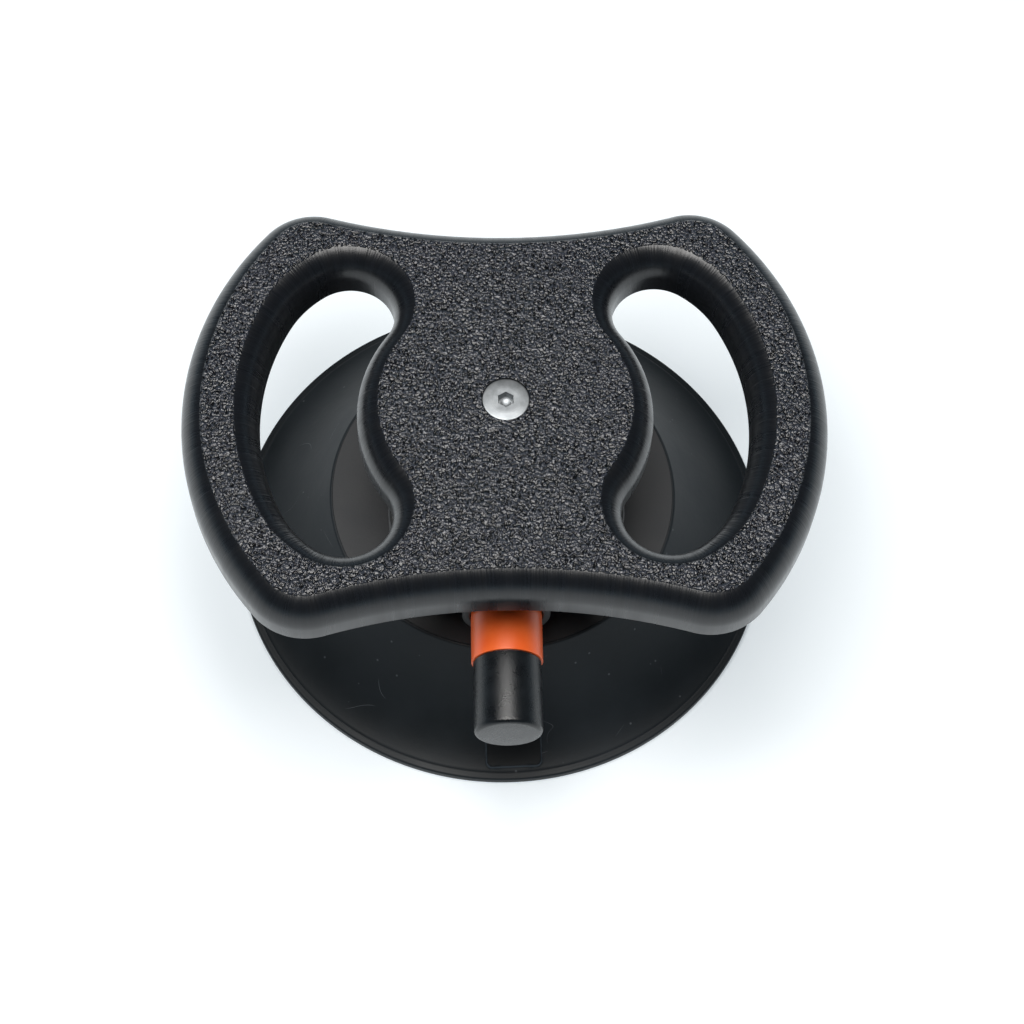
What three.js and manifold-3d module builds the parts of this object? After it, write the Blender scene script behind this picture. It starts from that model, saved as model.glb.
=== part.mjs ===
// Suction grab bar: a flat plate with two hand holes, screwed to a pump body
// that stands on a rubber vacuum cup. A spring-returned plunger at the front
// pumps the cup empty, and its coloured band shows when the vacuum is lost.
//
// Millimetres, +Z up. The origin is the centre of the cup's rim on the surface
// it grips, and the plunger points along -Y.

import * as THREE from "three";
import { mergeVertices } from "three/addons/utils/BufferGeometryUtils.js";
import Module from "manifold-3d";

const wasm = await Module();
wasm.setup();

const DEGREE = Math.PI / 180;

// ---------------------------------------------------------------- sizes

// Clearance between pieces that touch, inside sliding fits and round seals.
const GAP = 0.3;
const SLIDE = 0.25;
const SEAL_GAP = 0.15;

// Rubber cup.
const CUP_RADIUS = 101.6;
const CUP_LAND = 8.5;
const CUP_RIM = 3.2;
const CUP_WALL = 4.6;
const CUP_LIP = 2.4;
const CUP_RIM_ROUND = 1.2;
const CUP_FLARE_REACH = 0.52;
const CUP_FLARE_RISE = 0.14;
const CUP_ROOF_MARGIN = 2.5;
const CUP_BELLY_REACH = 0.56;
const CUP_BELLY_RISE = 0.1;
const LIP_ROUND = 1.4;
const LIP_ROUND_BREAK = 0.8;
const LIP_BREAK = 0.3;
const LIP_SHOULDER_DROP = 1.8;
const LIP_SHOULDER_OUT = 0.4;
const SHOULDER_HEIGHT = 38.2;
const TAB_WIDTH = 21;
const TAB_LENGTH = 24;
const TAB_RISE = 1;
const TAB_MARGIN = 4.8;
const TAB_CORNER = 2.5;
const TAB_TURN = 1.9 * DEGREE;

// Discs that clamp the cup's web between them.
const BASE_MARGIN = 5.4;
const BASE_THICKNESS = 4;
const CLAMP_INSET = 6.6;
const CLAMP_THICKNESS = 4;
const BASE_CHAMFER = 0.6;
const CLAMP_CHAMFER = 1;

// Screws that hold the discs, the cup and the pump body together.
const CLAMP_SCREW_RADIUS = 3;
const CLAMP_SCREW_GRIP = 12;
const CLAMP_SCREW_HEAD_RADIUS = 5.5;
const CLAMP_SCREW_HEAD = 3.4;
const CLAMP_SCREW_SOCKET = 4;
const CLAMP_SCREW_SOCKET_DEPTH = 2;
const CLAMP_SCREW_HEAD_CHAMFER = 1;
const CLAMP_SCREW_END_SPACE = 2;
const CLAMP_SCREW_INSET = 12;

// Pump body, with the walls round its bore.
const BODY_WIDTH = 82;
const BODY_CORNER = 16;
const BODY_CHAMFER = 1.2;
const BODY_FLOOR = 2.4;
const BODY_CROWN = 15;
const BODY_REAR_LIP = 2;
const BOSS_LENGTH = 3;
const BOSS_WALL = 2.6;

// Plunger. Its tube sets the size of everything it slides in.
const STROKE = 40;
const TUBE_RADIUS = 11.1;
const TUBE_WALL = 2.1;
const TUBE_VENT_RADIUS = 1.2;
const TUBE_VENT_SPACE = 3;
const BAND_WALL = 1.2;
const BAND_SHOWN = 17.6;
const BAND_HIDDEN = 12;
const CAP_WALL = 0.6;
const CAP_LENGTH = 27;
const CAP_END_ROUND = 1.6;
const CAP_END_MIDDLE = 0.3;
const CAP_END_WALL = 8;
const PISTON_LENGTH = 9;
const PISTON_SPIGOT = 8;
const PISTON_GROOVE_LENGTH = 4;
const PISTON_GROOVE_DEPTH = 2.6;
const SEAL_LIP = 0.5;
const SEAL_NOSE_LENGTH = 0.8;
const SEAL_NOSE_DROP = 0.6;
const SPRING_WIRE = 0.8;
const SPRING_CLEAR = 3.2;
const SPRING_TURNS = 7;
const SPRING_CRUSHED = 17.1;

// Pump barrel, along Y, and what lines its front end.
const BARREL_WALL = 1.5;
const BARREL_FRONT = 56.3;
const BARREL_PROUD = 6.3;
const COLLAR_FLANGE = 3.4;
const COLLAR_SPIGOT = 4.7;
const COLLAR_OUTER_CHAMFER = 0.8;
const COLLAR_BORE_CHAMFER = 0.6;
const WIPER_LENGTH = 2;
const BUSH_LENGTH = 16;
const BUSH_WALL = 1.2;

// Plug, seal and circlip at the rear of the barrel.
const PLUG_SPIGOT = 6;
const PLUG_FLANGE = 6.2;
const PLUG_NOSE = 2;
const PLUG_GROOVE_LENGTH = 2.2;
const PLUG_GROOVE_DEPTH = 2;
const PLUG_SLOT_WIDTH = 3;
const PLUG_SLOT_LENGTH = 16;
const PLUG_SLOT_DEPTH = 2;
const CIRCLIP_THICKNESS = 1.2;
const CIRCLIP_WIDTH = 3.2;
const CIRCLIP_GROOVE = 1.2;
const CIRCLIP_OPENING = 9;

// Valves: both are a rubber disc that a light spring holds on its seat.
const VALVE_DISC_RADIUS = 5;
const VALVE_DISC_THICKNESS = 1.2;
const VALVE_PORT = 2.5;
const VALVE_SPRING_WIRE = 0.25;
const VALVE_SPRING_RADIUS = 3.2;
const VALVE_SPRING_TURNS = 3;
const INLET_FROM_PLUG = 6;
const INLET_BORE = 7.5;
const INLET_SEAT_RISE = 0.2;
const INLET_SEAT_LENGTH = 7;
const INLET_FILTER = 2;
const INLET_ROOF = 1;
const INLET_POCKET_RADIUS = 4.4;
const BARREL_PORT = 2;
const ORING_MARGIN = 3.5;
const ORING_DEPTH = 1.5;
const ORING_CLEAR = 0.12;
const EXHAUST_SPRING_LENGTH = 5;
const RETAINER_LENGTH = 2;
const RETAINER_BORE = 3;

// Grab plate.
const PLATE_THICKNESS = 19.05;
const PLATE_SIDE_RADIUS = 113;
const PLATE_WAIST = 144;
const SCALLOP_RADIUS = 224;
const PLATE_CORNER = 23;
const GRIP_WIDTH = 26.75;
const LOBE_RADIUS = 52;
const HOLE_NECK = 0.925;
const HOLE_END_ANGLE = 35.8 * DEGREE;
const HOLE_BLEND = 21;
const ROUND_OVER = 12.7;
const ROUND_OVER_START = 22.4 * DEGREE;
const UNDER_EDGE = 1.2;

// Countersunk screw that holds the plate, and the insert it turns into.
const SCREW_RADIUS = 4;
const SCREW_TIP = 0.8;
const SCREW_HEAD_RADIUS = 8.15;
const SCREW_HEAD_RIM = 0.4;
const SCREW_SOCKET_WIDTH = 5;
const SCREW_SOCKET_DEPTH = 3;
const INSERT_RADIUS = 6;
const INSERT_FLOOR = 3.4;
const GRUB_RADIUS = 2.5;
const GRUB_LENGTH = 10;
const GRUB_SOCKET_WIDTH = 2.5;
const GRUB_SOCKET_DEPTH = 2.5;
const GRUB_Y = 20;

// ---------------------------------------------------------------- radii

const TUBE_BORE = TUBE_RADIUS - TUBE_WALL;
const BAND_BORE = TUBE_RADIUS + GAP;
const BAND_RADIUS = BAND_BORE + BAND_WALL;
const CAP_RADIUS = TUBE_RADIUS + GAP + CAP_WALL;
const GUIDE_BORE = BAND_RADIUS + SLIDE;
const BARREL_LINING = GUIDE_BORE + BUSH_WALL;
const BARREL_BORE = BARREL_LINING + SEAL_GAP;
const BARREL_OUTER = BARREL_BORE + BARREL_WALL;
const BODY_BORE = BARREL_OUTER + GAP;
const PISTON_RADIUS = BARREL_BORE - SLIDE;
const SPRING_RADIUS = BARREL_BORE - SPRING_CLEAR - SPRING_WIRE;
const ORING_RADIUS = INLET_BORE + ORING_MARGIN;

// ---------------------------------------------------------------- places

// Along the pump, counted forwards, that is towards -Y.
const COLLAR_REAR = BARREL_FRONT + GAP;
const COLLAR_FACE = COLLAR_REAR + COLLAR_FLANGE;
const WIPER_FRONT = BARREL_FRONT - COLLAR_SPIGOT - GAP;
const BUSH_FRONT = WIPER_FRONT - WIPER_LENGTH - GAP;
const BUSH_REAR = BUSH_FRONT - BUSH_LENGTH;
const PISTON_FRONT = BUSH_REAR - GAP;
const PISTON_REAR = PISTON_FRONT - PISTON_LENGTH;
const PISTON_MIDDLE = (PISTON_FRONT + PISTON_REAR) / 2;
const SPIGOT_FRONT = PISTON_FRONT + PISTON_SPIGOT;
const TUBE_REAR = PISTON_FRONT + GAP;
const BAND_REAR = COLLAR_FACE - BAND_HIDDEN;
const BAND_FRONT = COLLAR_FACE + BAND_SHOWN;
const CAP_REAR = BAND_FRONT + GAP;
const CAP_FRONT = BAND_FRONT + CAP_LENGTH;
const CAP_RECESS_FRONT = CAP_FRONT - CAP_END_WALL;
const TUBE_FRONT = CAP_RECESS_FRONT - GAP;
const EXHAUST_DISC_REAR = SPIGOT_FRONT + GAP;
const EXHAUST_SPRING_REAR = EXHAUST_DISC_REAR + VALVE_DISC_THICKNESS + GAP;
const RETAINER_REAR = EXHAUST_SPRING_REAR + EXHAUST_SPRING_LENGTH + GAP;
const PLUG_FRONT = PISTON_REAR - STROKE - SPRING_CRUSHED - 2 * GAP;
const PLUG_GROOVE_FRONT = PLUG_FRONT - PLUG_NOSE;
const PLUG_GROOVE_REAR = PLUG_GROOVE_FRONT - PLUG_GROOVE_LENGTH;
const BARREL_REAR = PLUG_FRONT - PLUG_SPIGOT;
const PLUG_SHOULDER = BARREL_REAR - GAP;
const PLUG_REAR = PLUG_SHOULDER - PLUG_FLANGE;
const CIRCLIP_FRONT = PLUG_REAR - GAP;
const CIRCLIP_REAR = CIRCLIP_FRONT - CIRCLIP_THICKNESS;
const BODY_FRONT = BARREL_FRONT - BARREL_PROUD;
const BODY_REAR = CIRCLIP_REAR - BODY_REAR_LIP;
const BODY_DEPTH = BODY_FRONT - BODY_REAR;
const BODY_MIDDLE_Y = -(BODY_FRONT + BODY_REAR) / 2;
const INLET_Y = -PLUG_FRONT - INLET_FROM_PLUG;

// Discs under the body, wide enough to carry its corners.
const BODY_REACH = Math.hypot(BODY_WIDTH / 2 - BODY_CORNER, BODY_DEPTH / 2 - BODY_CORNER);
const BASE_RADIUS = BODY_REACH + BODY_CORNER + BASE_MARGIN;
const CLAMP_RADIUS = BASE_RADIUS - CLAMP_INSET;

// Upwards. The cup's lip ends a little below the top of the base plate.
const LIP_DROP = 0.1;
const BASE_TOP = SHOULDER_HEIGHT + LIP_DROP;
const BASE_BOTTOM = BASE_TOP - BASE_THICKNESS;
const WEB_TOP = BASE_BOTTOM - GAP;
const WEB_BOTTOM = WEB_TOP - CUP_WALL;
const CLAMP_TOP = WEB_BOTTOM - GAP;
const CLAMP_BOTTOM = CLAMP_TOP - CLAMP_THICKNESS;
const BODY_BOTTOM = BASE_TOP + GAP;
const PUMP_AXIS_Z = BODY_BOTTOM + BODY_FLOOR + BODY_BORE;
const BODY_TOP = PUMP_AXIS_Z + BODY_BORE + BODY_CROWN;
const BODY_HEIGHT = BODY_TOP - BODY_BOTTOM;
const PLATE_BOTTOM = BODY_TOP + GAP;
const INSERT_TOP = BODY_TOP - GAP;
const INSERT_BOTTOM = INSERT_TOP - BODY_CROWN + GAP + INSERT_FLOOR + GAP;
const INLET_SEAT_TOP = BASE_BOTTOM + INLET_SEAT_RISE;
const INLET_SEAT_BOTTOM = INLET_SEAT_TOP - INLET_SEAT_LENGTH;
const INLET_DISC_BOTTOM = INLET_SEAT_TOP + GAP;
const INLET_DISC_TOP = INLET_DISC_BOTTOM + VALVE_DISC_THICKNESS;
const INLET_POCKET_TOP = BODY_BOTTOM + BODY_FLOOR - INLET_ROOF;

// ---------------------------------------------------------------- finishes

const FINISHES = {
  board: { color: 0x35373b, roughness: 0.62, metalness: 0 },
  rubber: { color: 0x17191b, roughness: 0.8, metalness: 0 },
  nylon: { color: 0x1d1f22, roughness: 0.5, metalness: 0 },
  base: { color: 0x3a3a3c, roughness: 0.7, metalness: 0 },
  band: { color: 0xe2571f, roughness: 0.42, metalness: 0 },
  cap: { color: 0x141517, roughness: 0.3, metalness: 0 },
  steel: { color: 0xc4c6c6, roughness: 0.35, metalness: 1 },
  brass: { color: 0xb5924c, roughness: 0.35, metalness: 1 },
  aluminium: { color: 0xa9acb0, roughness: 0.4, metalness: 1 },
  acetal: { color: 0xe4e2da, roughness: 0.5, metalness: 0 },
  felt: { color: 0x8d8a83, roughness: 0.95, metalness: 0 },
};

// ---------------------------------------------------------------- helpers

// A closed geometry as a solid that can be joined and cut.
function toSolid(geometry) {
  const loose = geometry.index ? geometry.toNonIndexed() : geometry.clone();
  loose.deleteAttribute("normal");
  loose.deleteAttribute("uv");
  const merged = mergeVertices(loose, 1e-4);
  const vertProperties = merged.getAttribute("position").array;
  const triVerts = new Uint32Array(merged.index.array);
  return new wasm.Manifold(new wasm.Mesh({ numProp: 3, vertProperties, triVerts }));
}

// A solid back as a geometry.
function toGeometry(solid) {
  const mesh = solid.getMesh();
  const geometry = new THREE.BufferGeometry();
  geometry.setAttribute("position", new THREE.BufferAttribute(mesh.vertProperties, 3));
  geometry.setIndex(new THREE.BufferAttribute(mesh.triVerts, 1));
  return geometry;
}

// The first geometry with all the others taken away.
function cut(geometry, cutters) {
  const start = toSolid(geometry);
  return toGeometry(cutters.reduce((solid, cutter) => solid.subtract(toSolid(cutter)), start));
}

// A profile of [radius, height] pairs turned about Z. It runs upwards on the
// outside, and starts and ends on the axis or closes on itself.
function turned(profile, segments = 24) {
  const points = profile.map(([radius, height]) => new THREE.Vector2(radius, height));
  return new THREE.LatheGeometry(points, segments).rotateX(Math.PI / 2);
}

function rod(radius, bottom, top, segments = 24) {
  return turned([[0, bottom], [radius, bottom], [radius, top], [0, top]], segments);
}

function ring(inner, outer, bottom, top, segments = 24) {
  const profile = [[inner, bottom], [outer, bottom], [outer, top], [inner, top], [inner, bottom]];
  return turned(profile, segments);
}

// A round-section ring, with its section drawn as a hexagon.
function roundRing(middle, section, height, segments = 24) {
  const corners = Array.from({ length: 7 }, (_, i) => i * 60 * DEGREE);
  const profile = corners.map((a) => [
    middle + section * Math.cos(a),
    height + section * Math.sin(a),
  ]);
  return turned(profile, segments);
}

// A hexagonal prism of the given width across its flats.
function hexagon(width, bottom, top) {
  return rod(width / Math.sqrt(3), bottom, top, 6);
}

// A rectangle with rounded corners, as a shape about its own middle.
function roundedRectangle(width, depth, corner) {
  const x = width / 2 - corner;
  const y = depth / 2 - corner;
  const shape = new THREE.Shape();
  shape.absarc(x, y, corner, 0, Math.PI / 2);
  shape.absarc(-x, y, corner, Math.PI / 2, Math.PI);
  shape.absarc(-x, -y, corner, Math.PI, 1.5 * Math.PI);
  shape.absarc(x, -y, corner, 1.5 * Math.PI, 2 * Math.PI);
  return shape;
}

// Points along an arc, without its last one, which starts the next arc.
function arc(centre, radius, from, to, steps) {
  return Array.from({ length: steps }, (_, i) => {
    const angle = from + ((to - from) * i) / steps;
    return new THREE.Vector2(
      centre.x + radius * Math.cos(angle),
      centre.y + radius * Math.sin(angle),
    );
  });
}

// A closed skin over outlines of equal point counts stacked from the bottom up.
function loft(rings) {
  const count = rings[0].outline.length;
  const positions = rings.flatMap(({ outline, height }) =>
    outline.flatMap((point) => [point.x, point.y, height]),
  );
  const indices = [];
  for (let level = 0; level + 1 < rings.length; level += 1) {
    for (let i = 0; i < count; i += 1) {
      const a = level * count + i;
      const b = level * count + ((i + 1) % count);
      indices.push(a, b, b + count, a, b + count, a + count);
    }
  }
  const top = (rings.length - 1) * count;
  THREE.ShapeUtils.triangulateShape(rings[0].outline, []).forEach(([a, b, c]) => {
    indices.push(a, c, b);
  });
  THREE.ShapeUtils.triangulateShape(rings[rings.length - 1].outline, []).forEach(([a, b, c]) => {
    indices.push(top + a, top + b, top + c);
  });
  const geometry = new THREE.BufferGeometry();
  geometry.setAttribute("position", new THREE.Float32BufferAttribute(positions, 3));
  geometry.setIndex(indices);
  return geometry;
}

// A coil spring along Z as one tube of five-sided section.
function coil(radius, wire, turns, bottom, top) {
  class Helix extends THREE.Curve {
    getPoint(t, target = new THREE.Vector3()) {
      const angle = 2 * Math.PI * turns * t;
      const height = bottom + wire + (top - bottom - 2 * wire) * t;
      return target.set(radius * Math.cos(angle), radius * Math.sin(angle), height);
    }
  }
  const section = new THREE.Shape(arc(new THREE.Vector2(), wire, 0, 2 * Math.PI, 5));
  const steps = turns * 10;
  const options = { steps, extrudePath: new Helix(), bevelEnabled: false };
  return new THREE.ExtrudeGeometry(section, options);
}

function part(name, finish, geometry) {
  geometry.computeVertexNormals();
  const mesh = new THREE.Mesh(geometry, new THREE.MeshStandardMaterial(FINISHES[finish]));
  mesh.name = name;
  return mesh;
}

// Turns and lifts a geometry made along Z onto the pump's axis.
function onPumpAxis(geometry) {
  return geometry.rotateX(Math.PI / 2).translate(0, 0, PUMP_AXIS_Z);
}

// The clamp screws stand in from the four corners of the pump body.
const CLAMP_SCREW_PLACES = [[1, 1], [-1, 1], [-1, -1], [1, -1]].map(([right, back]) => ({
  x: right * (BODY_WIDTH / 2 - CLAMP_SCREW_INSET),
  y: BODY_MIDDLE_Y + back * (BODY_DEPTH / 2 - CLAMP_SCREW_INSET),
}));

function clampScrewHoles(bottom, top) {
  return CLAMP_SCREW_PLACES.map(({ x, y }) =>
    rod(CLAMP_SCREW_RADIUS + GAP, bottom, top, 16).translate(x, y, 0),
  );
}

function inletHole(radius, bottom, top) {
  return rod(radius, bottom, top, 28).translate(0, INLET_Y, 0);
}

// ---------------------------------------------------------------- grab plate

// Outer outline of the plate, drawn in by the given inset. The two sides are
// arcs about the middle, and the front and back are hollow.
function plateOutline(inset) {
  const scallop = new THREE.Vector2(0, PLATE_WAIST / 2 + SCALLOP_RADIUS);
  const reach = PLATE_SIDE_RADIUS - PLATE_CORNER;
  const span = SCALLOP_RADIUS + PLATE_CORNER;
  const cornerY = (reach ** 2 + scallop.y ** 2 - span ** 2) / (2 * scallop.y);
  const corner = new THREE.Vector2(Math.sqrt(reach ** 2 - cornerY ** 2), cornerY);
  const sideEnd = corner.angle();
  const cornerEnd = scallop.clone().sub(corner).angle();
  const scallopStart = cornerEnd - Math.PI;
  const middle = new THREE.Vector2();
  const quarter = [
    ...arc(middle, PLATE_SIDE_RADIUS - inset, 0, sideEnd, 9),
    ...arc(corner, PLATE_CORNER - inset, sideEnd, cornerEnd, 5),
    ...arc(scallop, SCALLOP_RADIUS + inset, scallopStart, -Math.PI / 2, 5),
  ];
  const waist = new THREE.Vector2(0, PLATE_WAIST / 2 - inset);
  const half = [
    ...quarter,
    waist,
    ...quarter.slice(1).reverse().map((p) => new THREE.Vector2(-p.x, p.y)),
  ];
  return [...half, ...half.map((p) => new THREE.Vector2(-p.x, -p.y))];
}

// Outline of the right hand hole, let out by the given inset of the material
// round it. Its outer side follows the plate's side, its ends are round and
// its inner side is an arc about the plate's middle.
function holeOutline(inset) {
  const gripRadius = PLATE_SIDE_RADIUS - GRIP_WIDTH;
  const middle = new THREE.Vector2();
  const endRadius = (gripRadius - LOBE_RADIUS) / 2 - HOLE_NECK;
  const blendRadius = endRadius + HOLE_BLEND;
  const endReach = LOBE_RADIUS + endRadius;
  const end = new THREE.Vector2(endReach, 0).rotateAround(middle, HOLE_END_ANGLE);
  const blendReach = gripRadius - blendRadius;
  const squares = blendReach ** 2 + endReach ** 2 - HOLE_BLEND ** 2;
  const cosine = squares / (2 * blendReach * endReach);
  const blendAngle = HOLE_END_ANGLE - Math.acos(cosine);
  const blend = new THREE.Vector2(blendReach, 0).rotateAround(middle, blendAngle);
  const blendEnd = end.clone().sub(blend).angle();
  const upper = [
    ...arc(middle, gripRadius + inset, 0, blendAngle, 4),
    ...arc(blend, blendRadius + inset, blendAngle, blendEnd, 3),
    ...arc(end, endRadius + inset, blendEnd, HOLE_END_ANGLE + Math.PI, 10),
    ...arc(middle, LOBE_RADIUS - inset, HOLE_END_ANGLE, 0, 6),
  ];
  const lobe = new THREE.Vector2(LOBE_RADIUS - inset, 0);
  const lower = upper.slice(1).reverse().map((p) => new THREE.Vector2(p.x, -p.y));
  return [...upper, lobe, ...lower];
}

// Inset and height at each level of the plate's edge: a small round below, an
// upright wall, and a large round above that meets the flat at a slope.
function edgeLevels() {
  const under = [0, 45, 90].map((turn) => ({
    inset: UNDER_EDGE * (1 - Math.sin(turn * DEGREE)),
    height: UNDER_EDGE * (1 - Math.cos(turn * DEGREE)),
  }));
  const steps = 4;
  const over = Array.from({ length: steps + 1 }, (_, i) => {
    const turn = Math.PI / 2 + ((ROUND_OVER_START - Math.PI / 2) * i) / steps;
    const drop = ROUND_OVER * (Math.cos(ROUND_OVER_START) - Math.cos(turn));
    return { inset: ROUND_OVER * (1 - Math.sin(turn)), height: PLATE_THICKNESS - drop };
  });
  return [...under, ...over];
}

function screwHead(clearance, top) {
  const radius = SCREW_HEAD_RADIUS + clearance;
  const rim = PLATE_THICKNESS - SCREW_HEAD_RIM;
  const neck = rim - (SCREW_HEAD_RADIUS - SCREW_RADIUS);
  return { radius, rim, neck, shank: SCREW_RADIUS + clearance, top };
}

function grabPlate() {
  const levels = edgeLevels();
  const outer = loft(levels.map(({ inset, height }) => ({ outline: plateOutline(inset), height })));
  const first = levels[0];
  const last = levels[levels.length - 1];
  const holeLevels = [
    { inset: first.inset, height: first.height - 1 },
    ...levels,
    { inset: last.inset, height: last.height + 1 },
  ];
  const hole = holeLevels.map(({ inset, height }) => ({ outline: holeOutline(inset), height }));
  const head = screwHead(GAP, PLATE_THICKNESS + 1);
  const countersink = turned([
    [0, -1],
    [head.shank, -1],
    [head.shank, head.neck],
    [head.radius, head.rim],
    [head.radius, head.top],
    [0, head.top],
  ]);
  const rightHole = loft(hole);
  const leftHole = loft(hole).rotateZ(Math.PI);
  const plate = part("grab_plate", "board", cut(outer, [rightHole, leftHole, countersink]));
  plate.position.z = PLATE_BOTTOM;
  return plate;
}

function plateScrew() {
  const head = screwHead(0, PLATE_THICKNESS - GAP);
  const tip = INSERT_BOTTOM + GAP - PLATE_BOTTOM;
  const blank = turned([
    [0, tip],
    [head.shank - SCREW_TIP, tip],
    [head.shank, tip + SCREW_TIP],
    [head.shank, head.neck],
    [head.radius, head.rim],
    [head.radius, head.top],
    [0, head.top],
  ]);
  const socket = hexagon(SCREW_SOCKET_WIDTH, head.top - SCREW_SOCKET_DEPTH, head.top + 1);
  const screw = part("plate_screw", "steel", cut(blank, [socket]));
  screw.position.z = PLATE_BOTTOM;
  return screw;
}

// ---------------------------------------------------------------- pump body

function pumpBody() {
  const shape = roundedRectangle(
    BODY_WIDTH - 2 * BODY_CHAMFER,
    BODY_DEPTH - 2 * BODY_CHAMFER,
    BODY_CORNER - BODY_CHAMFER,
  );
  const block = new THREE.ExtrudeGeometry(shape, {
    depth: BODY_HEIGHT - 2 * BODY_CHAMFER,
    curveSegments: 4,
    bevelEnabled: true,
    bevelThickness: BODY_CHAMFER,
    bevelSize: BODY_CHAMFER,
    bevelSegments: 1,
  }).translate(0, BODY_MIDDLE_Y, BODY_BOTTOM + BODY_CHAMFER);
  const bossRadius = BODY_BORE + BOSS_WALL;
  const boss = onPumpAxis(
    turned([
      [0, 0],
      [bossRadius, 0],
      [bossRadius, BODY_FRONT + BOSS_LENGTH - BODY_CHAMFER],
      [bossRadius - BODY_CHAMFER, BODY_FRONT + BOSS_LENGTH],
      [0, BODY_FRONT + BOSS_LENGTH],
    ]),
  );
  const bossFloor = new THREE.BoxGeometry(3 * bossRadius, 2 * BODY_DEPTH, bossRadius);
  bossFloor.translate(0, BODY_MIDDLE_Y, BODY_BOTTOM - bossRadius / 2);
  const blank = toSolid(block).add(toSolid(boss).subtract(toSolid(bossFloor)));
  const bore = onPumpAxis(rod(BODY_BORE, BODY_REAR - 1, BODY_FRONT + BOSS_LENGTH + 1));
  const groove = onPumpAxis(
    rod(BODY_BORE + CIRCLIP_GROOVE, CIRCLIP_REAR - GAP, CIRCLIP_FRONT + GAP),
  );
  const insertHole = rod(INSERT_RADIUS + GAP, INSERT_BOTTOM - GAP, BODY_TOP + 1);
  const screwTop = BODY_BOTTOM + CLAMP_SCREW_GRIP + CLAMP_SCREW_END_SPACE;
  const grubHole = rod(GRUB_RADIUS + GAP, PUMP_AXIS_Z, BODY_TOP + 1, 20).translate(0, GRUB_Y, 0);
  const cutters = [
    bore,
    groove,
    insertHole,
    grubHole,
    inletHole(INLET_POCKET_RADIUS, BODY_BOTTOM - 1, INLET_POCKET_TOP),
    inletHole(BARREL_PORT, BODY_BOTTOM, PUMP_AXIS_Z),
    ...clampScrewHoles(BODY_BOTTOM - 1, screwTop),
  ];
  return part("pump_body", "nylon", cut(toGeometry(blank), cutters));
}

function threadedInsert() {
  const insert = ring(SCREW_RADIUS + GAP, INSERT_RADIUS, INSERT_BOTTOM, INSERT_TOP);
  return part("threaded_insert", "brass", insert);
}

function barrelGrubScrew() {
  const bottom = PUMP_AXIS_Z + BARREL_OUTER + GAP;
  const top = bottom + GRUB_LENGTH;
  const blank = rod(GRUB_RADIUS, bottom, top, 24);
  const socket = hexagon(GRUB_SOCKET_WIDTH, top - GRUB_SOCKET_DEPTH, top + 1);
  const screw = part("barrel_grub_screw", "steel", cut(blank, [socket]));
  screw.position.y = GRUB_Y;
  return screw;
}

// ---------------------------------------------------------------- cup

// Points of the cup's upper skirt from the rim up to the shoulder.
function skirtCurve() {
  const rim = new THREE.Vector2(CUP_RADIUS - CUP_RIM_ROUND, CUP_RIM);
  const shoulder = new THREE.Vector2(
    BASE_RADIUS + CUP_LIP + LIP_SHOULDER_OUT,
    SHOULDER_HEIGHT - LIP_SHOULDER_DROP,
  );
  const flare = new THREE.Vector2(
    shoulder.x + (rim.x - shoulder.x) * CUP_FLARE_REACH,
    rim.y + (shoulder.y - rim.y) * CUP_FLARE_RISE,
  );
  return new THREE.QuadraticBezierCurve(rim, flare, shoulder).getPoints(6);
}

function cupProfile() {
  const skirt = skirtCurve();
  const top = skirt.map((p) => [p.x, p.y]);
  const land = CUP_RADIUS - CUP_LAND;
  const lip = BASE_RADIUS + CUP_LIP;
  const lipBore = BASE_RADIUS + GAP;
  const roof = new THREE.Vector2(CLAMP_RADIUS + CUP_ROOF_MARGIN, WEB_BOTTOM);
  const foot = new THREE.Vector2(land, 0);
  const belly = new THREE.Vector2(
    roof.x + (foot.x - roof.x) * CUP_BELLY_REACH,
    roof.y * CUP_BELLY_RISE,
  );
  const inside = new THREE.QuadraticBezierCurve(roof, belly, foot).getPoints(6);
  return [
    [0, WEB_BOTTOM],
    ...inside.map((p) => [p.x, p.y]),
    [CUP_RADIUS, 0],
    [CUP_RADIUS, CUP_RIM - CUP_RIM_ROUND],
    ...top,
    [lip - LIP_ROUND + LIP_ROUND_BREAK, SHOULDER_HEIGHT - LIP_BREAK],
    [lip - LIP_ROUND, SHOULDER_HEIGHT],
    [lipBore + LIP_BREAK, SHOULDER_HEIGHT],
    [lipBore, SHOULDER_HEIGHT - LIP_BREAK],
    [lipBore, WEB_TOP],
    [0, WEB_TOP],
  ];
}

// A raised rounded pad on the skirt at the front, to lift the rim by.
function liftTab() {
  const below = skirtCurve().map((p) => [p.x, p.y - CUP_RIM / 2]).reverse();
  const above = skirtCurve().map((p) => [p.x, p.y + TAB_RISE]);
  const skin = turned([...below, ...above, below[0]], 56);
  const outline = roundedRectangle(TAB_WIDTH, TAB_LENGTH, TAB_CORNER);
  const prism = new THREE.ExtrudeGeometry(outline, {
    depth: SHOULDER_HEIGHT,
    curveSegments: 4,
    bevelEnabled: false,
  });
  prism.translate(0, TAB_MARGIN + TAB_LENGTH / 2 - CUP_RADIUS, 0).rotateZ(TAB_TURN);
  return toSolid(skin).intersect(toSolid(prism));
}

function vacuumCup() {
  const cup = toSolid(turned(cupProfile(), 56)).add(liftTab());
  const cutters = [
    inletHole(INLET_BORE, WEB_BOTTOM - 1, WEB_TOP + 1),
    ...clampScrewHoles(WEB_BOTTOM - 1, WEB_TOP + 1),
  ];
  return part("vacuum_cup", "rubber", cut(toGeometry(cup), cutters));
}

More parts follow.
